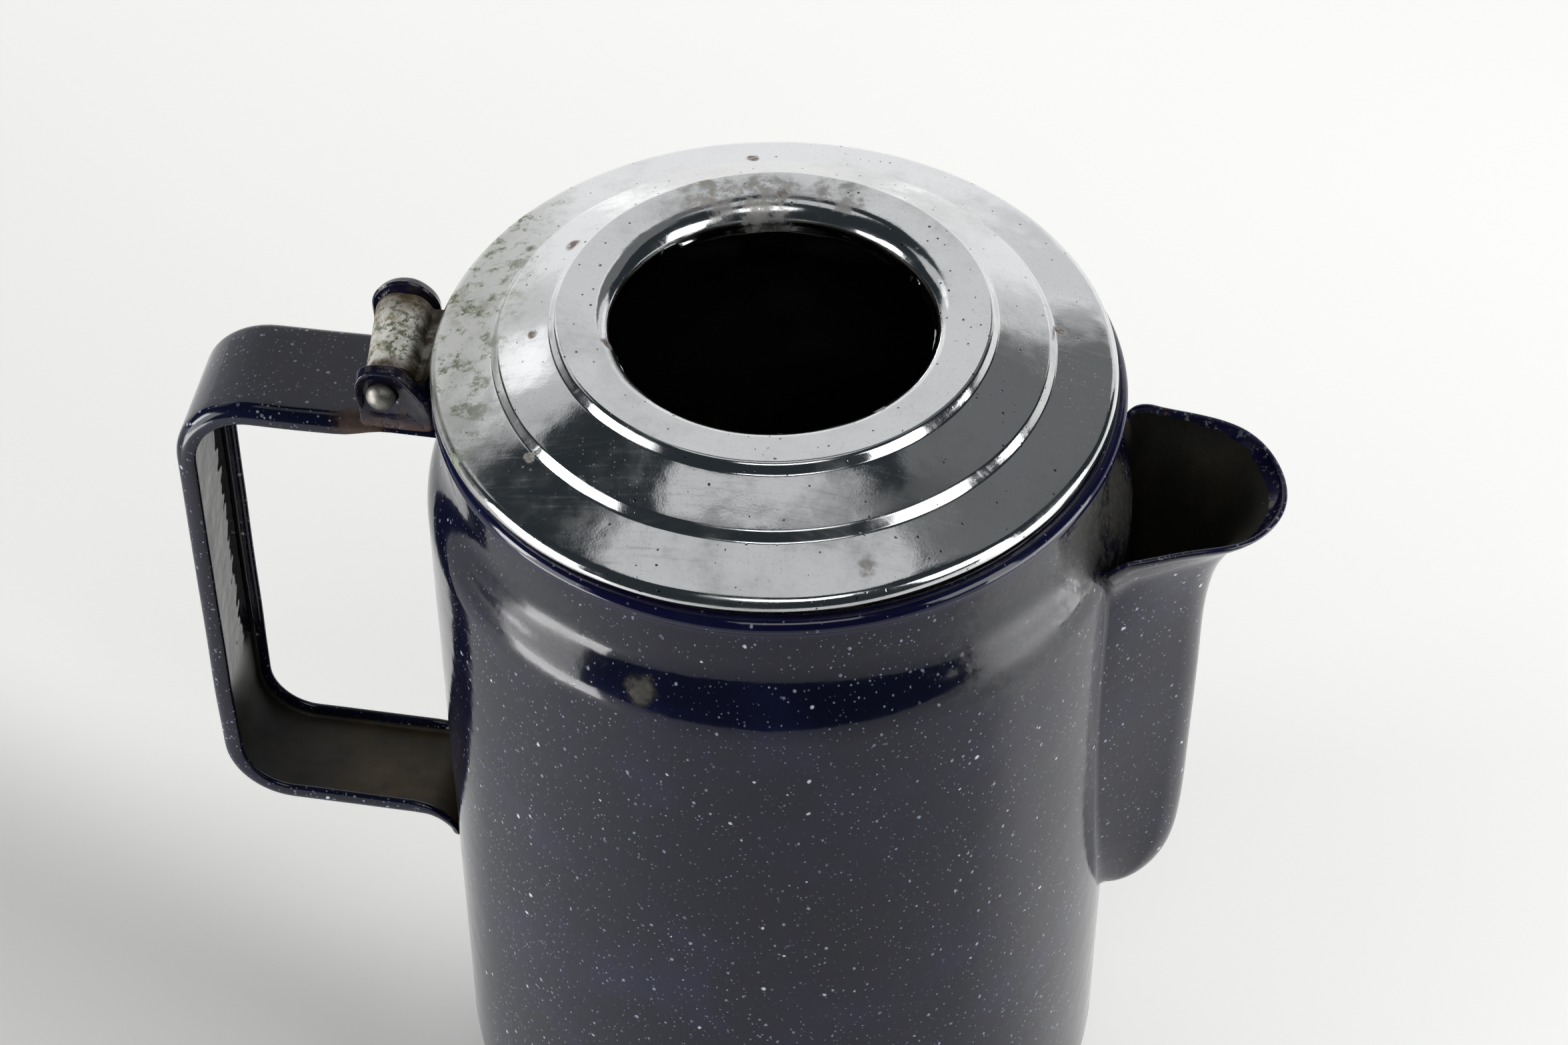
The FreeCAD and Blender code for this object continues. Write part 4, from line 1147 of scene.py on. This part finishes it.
KEPT = {"leaf_rivets": dull_steel}
INSERT = (
    "pump_stem", "pump_base", "valve_washer", "basket_stop", "basket", "basket_sleeve", "basket_cover")
for kept_node in INSERT:
    KEPT[kept_node] = aluminium


def paint_kept_nodes():
    """Give the CAD nodes that are shown as they are their materials."""
    for name, material in KEPT.items():
        node = frame["nodes"][name]
        node.data.materials.clear()
        node.data.materials.append(material)


# ---------------- studio

CAMERA_PLACE = Vector((0.0684, -0.4279, 0.5647))
CAMERA_AIM = Vector((0.00058, 0.00009, 0.1344))
CAMERA_LENS = 85.73
CAMERA_ROLL = math.radians(-0.276)


def make_camera():
    """A long lens looking down at the lid from the front."""
    data = bpy.data.cameras.new("camera")
    data.lens = CAMERA_LENS
    data.sensor_width = 36.0
    data.clip_start = 0.01
    camera = bpy.data.objects.new("camera", data)
    camera.location = CAMERA_PLACE
    look = (CAMERA_AIM - CAMERA_PLACE).to_track_quat("-Z", "Y")
    camera.rotation_mode = "QUATERNION"
    camera.rotation_quaternion = look @ Quaternion((0, 0, 1), CAMERA_ROLL)
    scene.collection.objects.link(camera)
    scene.camera = camera


def make_floor():
    """A sheet of pale paper under the pot, ending in front of it to leave dark reflections."""
    mesh = bpy.data.meshes.new("floor")
    size = 6.0
    front = -0.45
    corners = [(-size, front, 0), (size, front, 0), (size, size, 0), (-size, size, 0)]
    mesh.from_pydata(corners, [], [(0, 1, 2, 3)])
    mesh.materials.append(floor_paper())
    floor = bpy.data.objects.new("floor", mesh)
    floor.location.z = cad_low[2] - 0.0002
    scene.collection.objects.link(floor)


def soft_box(name, place, aim, width, height, power):
    """A rectangular light at a place, facing the aim."""
    data = bpy.data.lights.new(name, "AREA")
    data.shape = "RECTANGLE"
    data.size = width
    data.size_y = height
    data.energy = power
    light = bpy.data.objects.new(name, data)
    light.location = place
    light.rotation_mode = "QUATERNION"
    light.rotation_quaternion = (Vector(aim) - Vector(place)).to_track_quat("-Z", "Y")
    scene.collection.objects.link(light)


SURROUND = (0.66, 0.82, 0.94, 1.0)
SURROUND_STRENGTH = 0.035
MIDDLE = (0, 0, 0.12)
# Each light: name, place, aim, width, height and power, in metres and watts.
LIGHTS = (
    ("overhead", (-0.06, 0.12, 1.18), (-0.06, 0.12, 0), 0.63, 0.42, 0.47),
    ("back_wall", (-1.15, 1.9, 1.30), (-1.15, 0, 1.30), 3.4, 2.5, 17.4),
    ("back_low", (-0.2, 1.85, 0.40), (-0.2, 0, 0.40), 3.2, 0.7, 1.6),
    ("back_right", (1.1, 1.9, 0.66), (1.1, 0, 0.66), 1.2, 1.22, 3.0),
    ("left_wall", (-1.75, 1.0, 1.60), MIDDLE, 1.2, 0.9, 1.7),
    ("right_wall", (0.62, 0.90, 1.35), MIDDLE, 1.1, 1.2, 0.50),
    ("left_window", (-0.95, -0.30, 0.30), MIDDLE, 0.26, 0.42, 3.6),
    ("low_window", (-0.275, -0.20, 0.012), (-0.025, -0.047, 0.154), 0.17, 0.10, 0.42),
    ("right_window", (0.90, -0.38, 0.55), MIDDLE, 0.50, 0.60, 3.4),
    ("left_card", (-0.35, -0.22, 0.165), (0, -0.22, 0.165), 0.22, 0.27, 0.62),
    ("right_card", (0.42, -0.03, 0.11), (0, -0.03, 0.11), 0.30, 0.18, 0.75),
    ("sky_light", (0.25, -0.95, 1.55), MIDDLE, 0.8, 0.5, 3.4),
)


def make_lights():
    """The studio's soft lights and a faint bluish surround."""
    for light in LIGHTS:
        soft_box(*light)
    world = bpy.data.worlds.new("studio")
    world.use_nodes = True
    background = world.node_tree.nodes["Background"]
    background.inputs["Color"].default_value = SURROUND
    background.inputs["Strength"].default_value = SURROUND_STRENGTH
    scene.world = world
    scene.view_settings.view_transform = "Standard"


make_camera()
make_floor()
make_lights()
make_pot()
make_spout()
make_strap()
make_ear("ear_front", -1, EAR_FRONT)
make_ear("ear_back", 1, EAR_BACK)
make_pin()
make_leaf()
make_lid()
make_collar()
paint_kept_nodes()
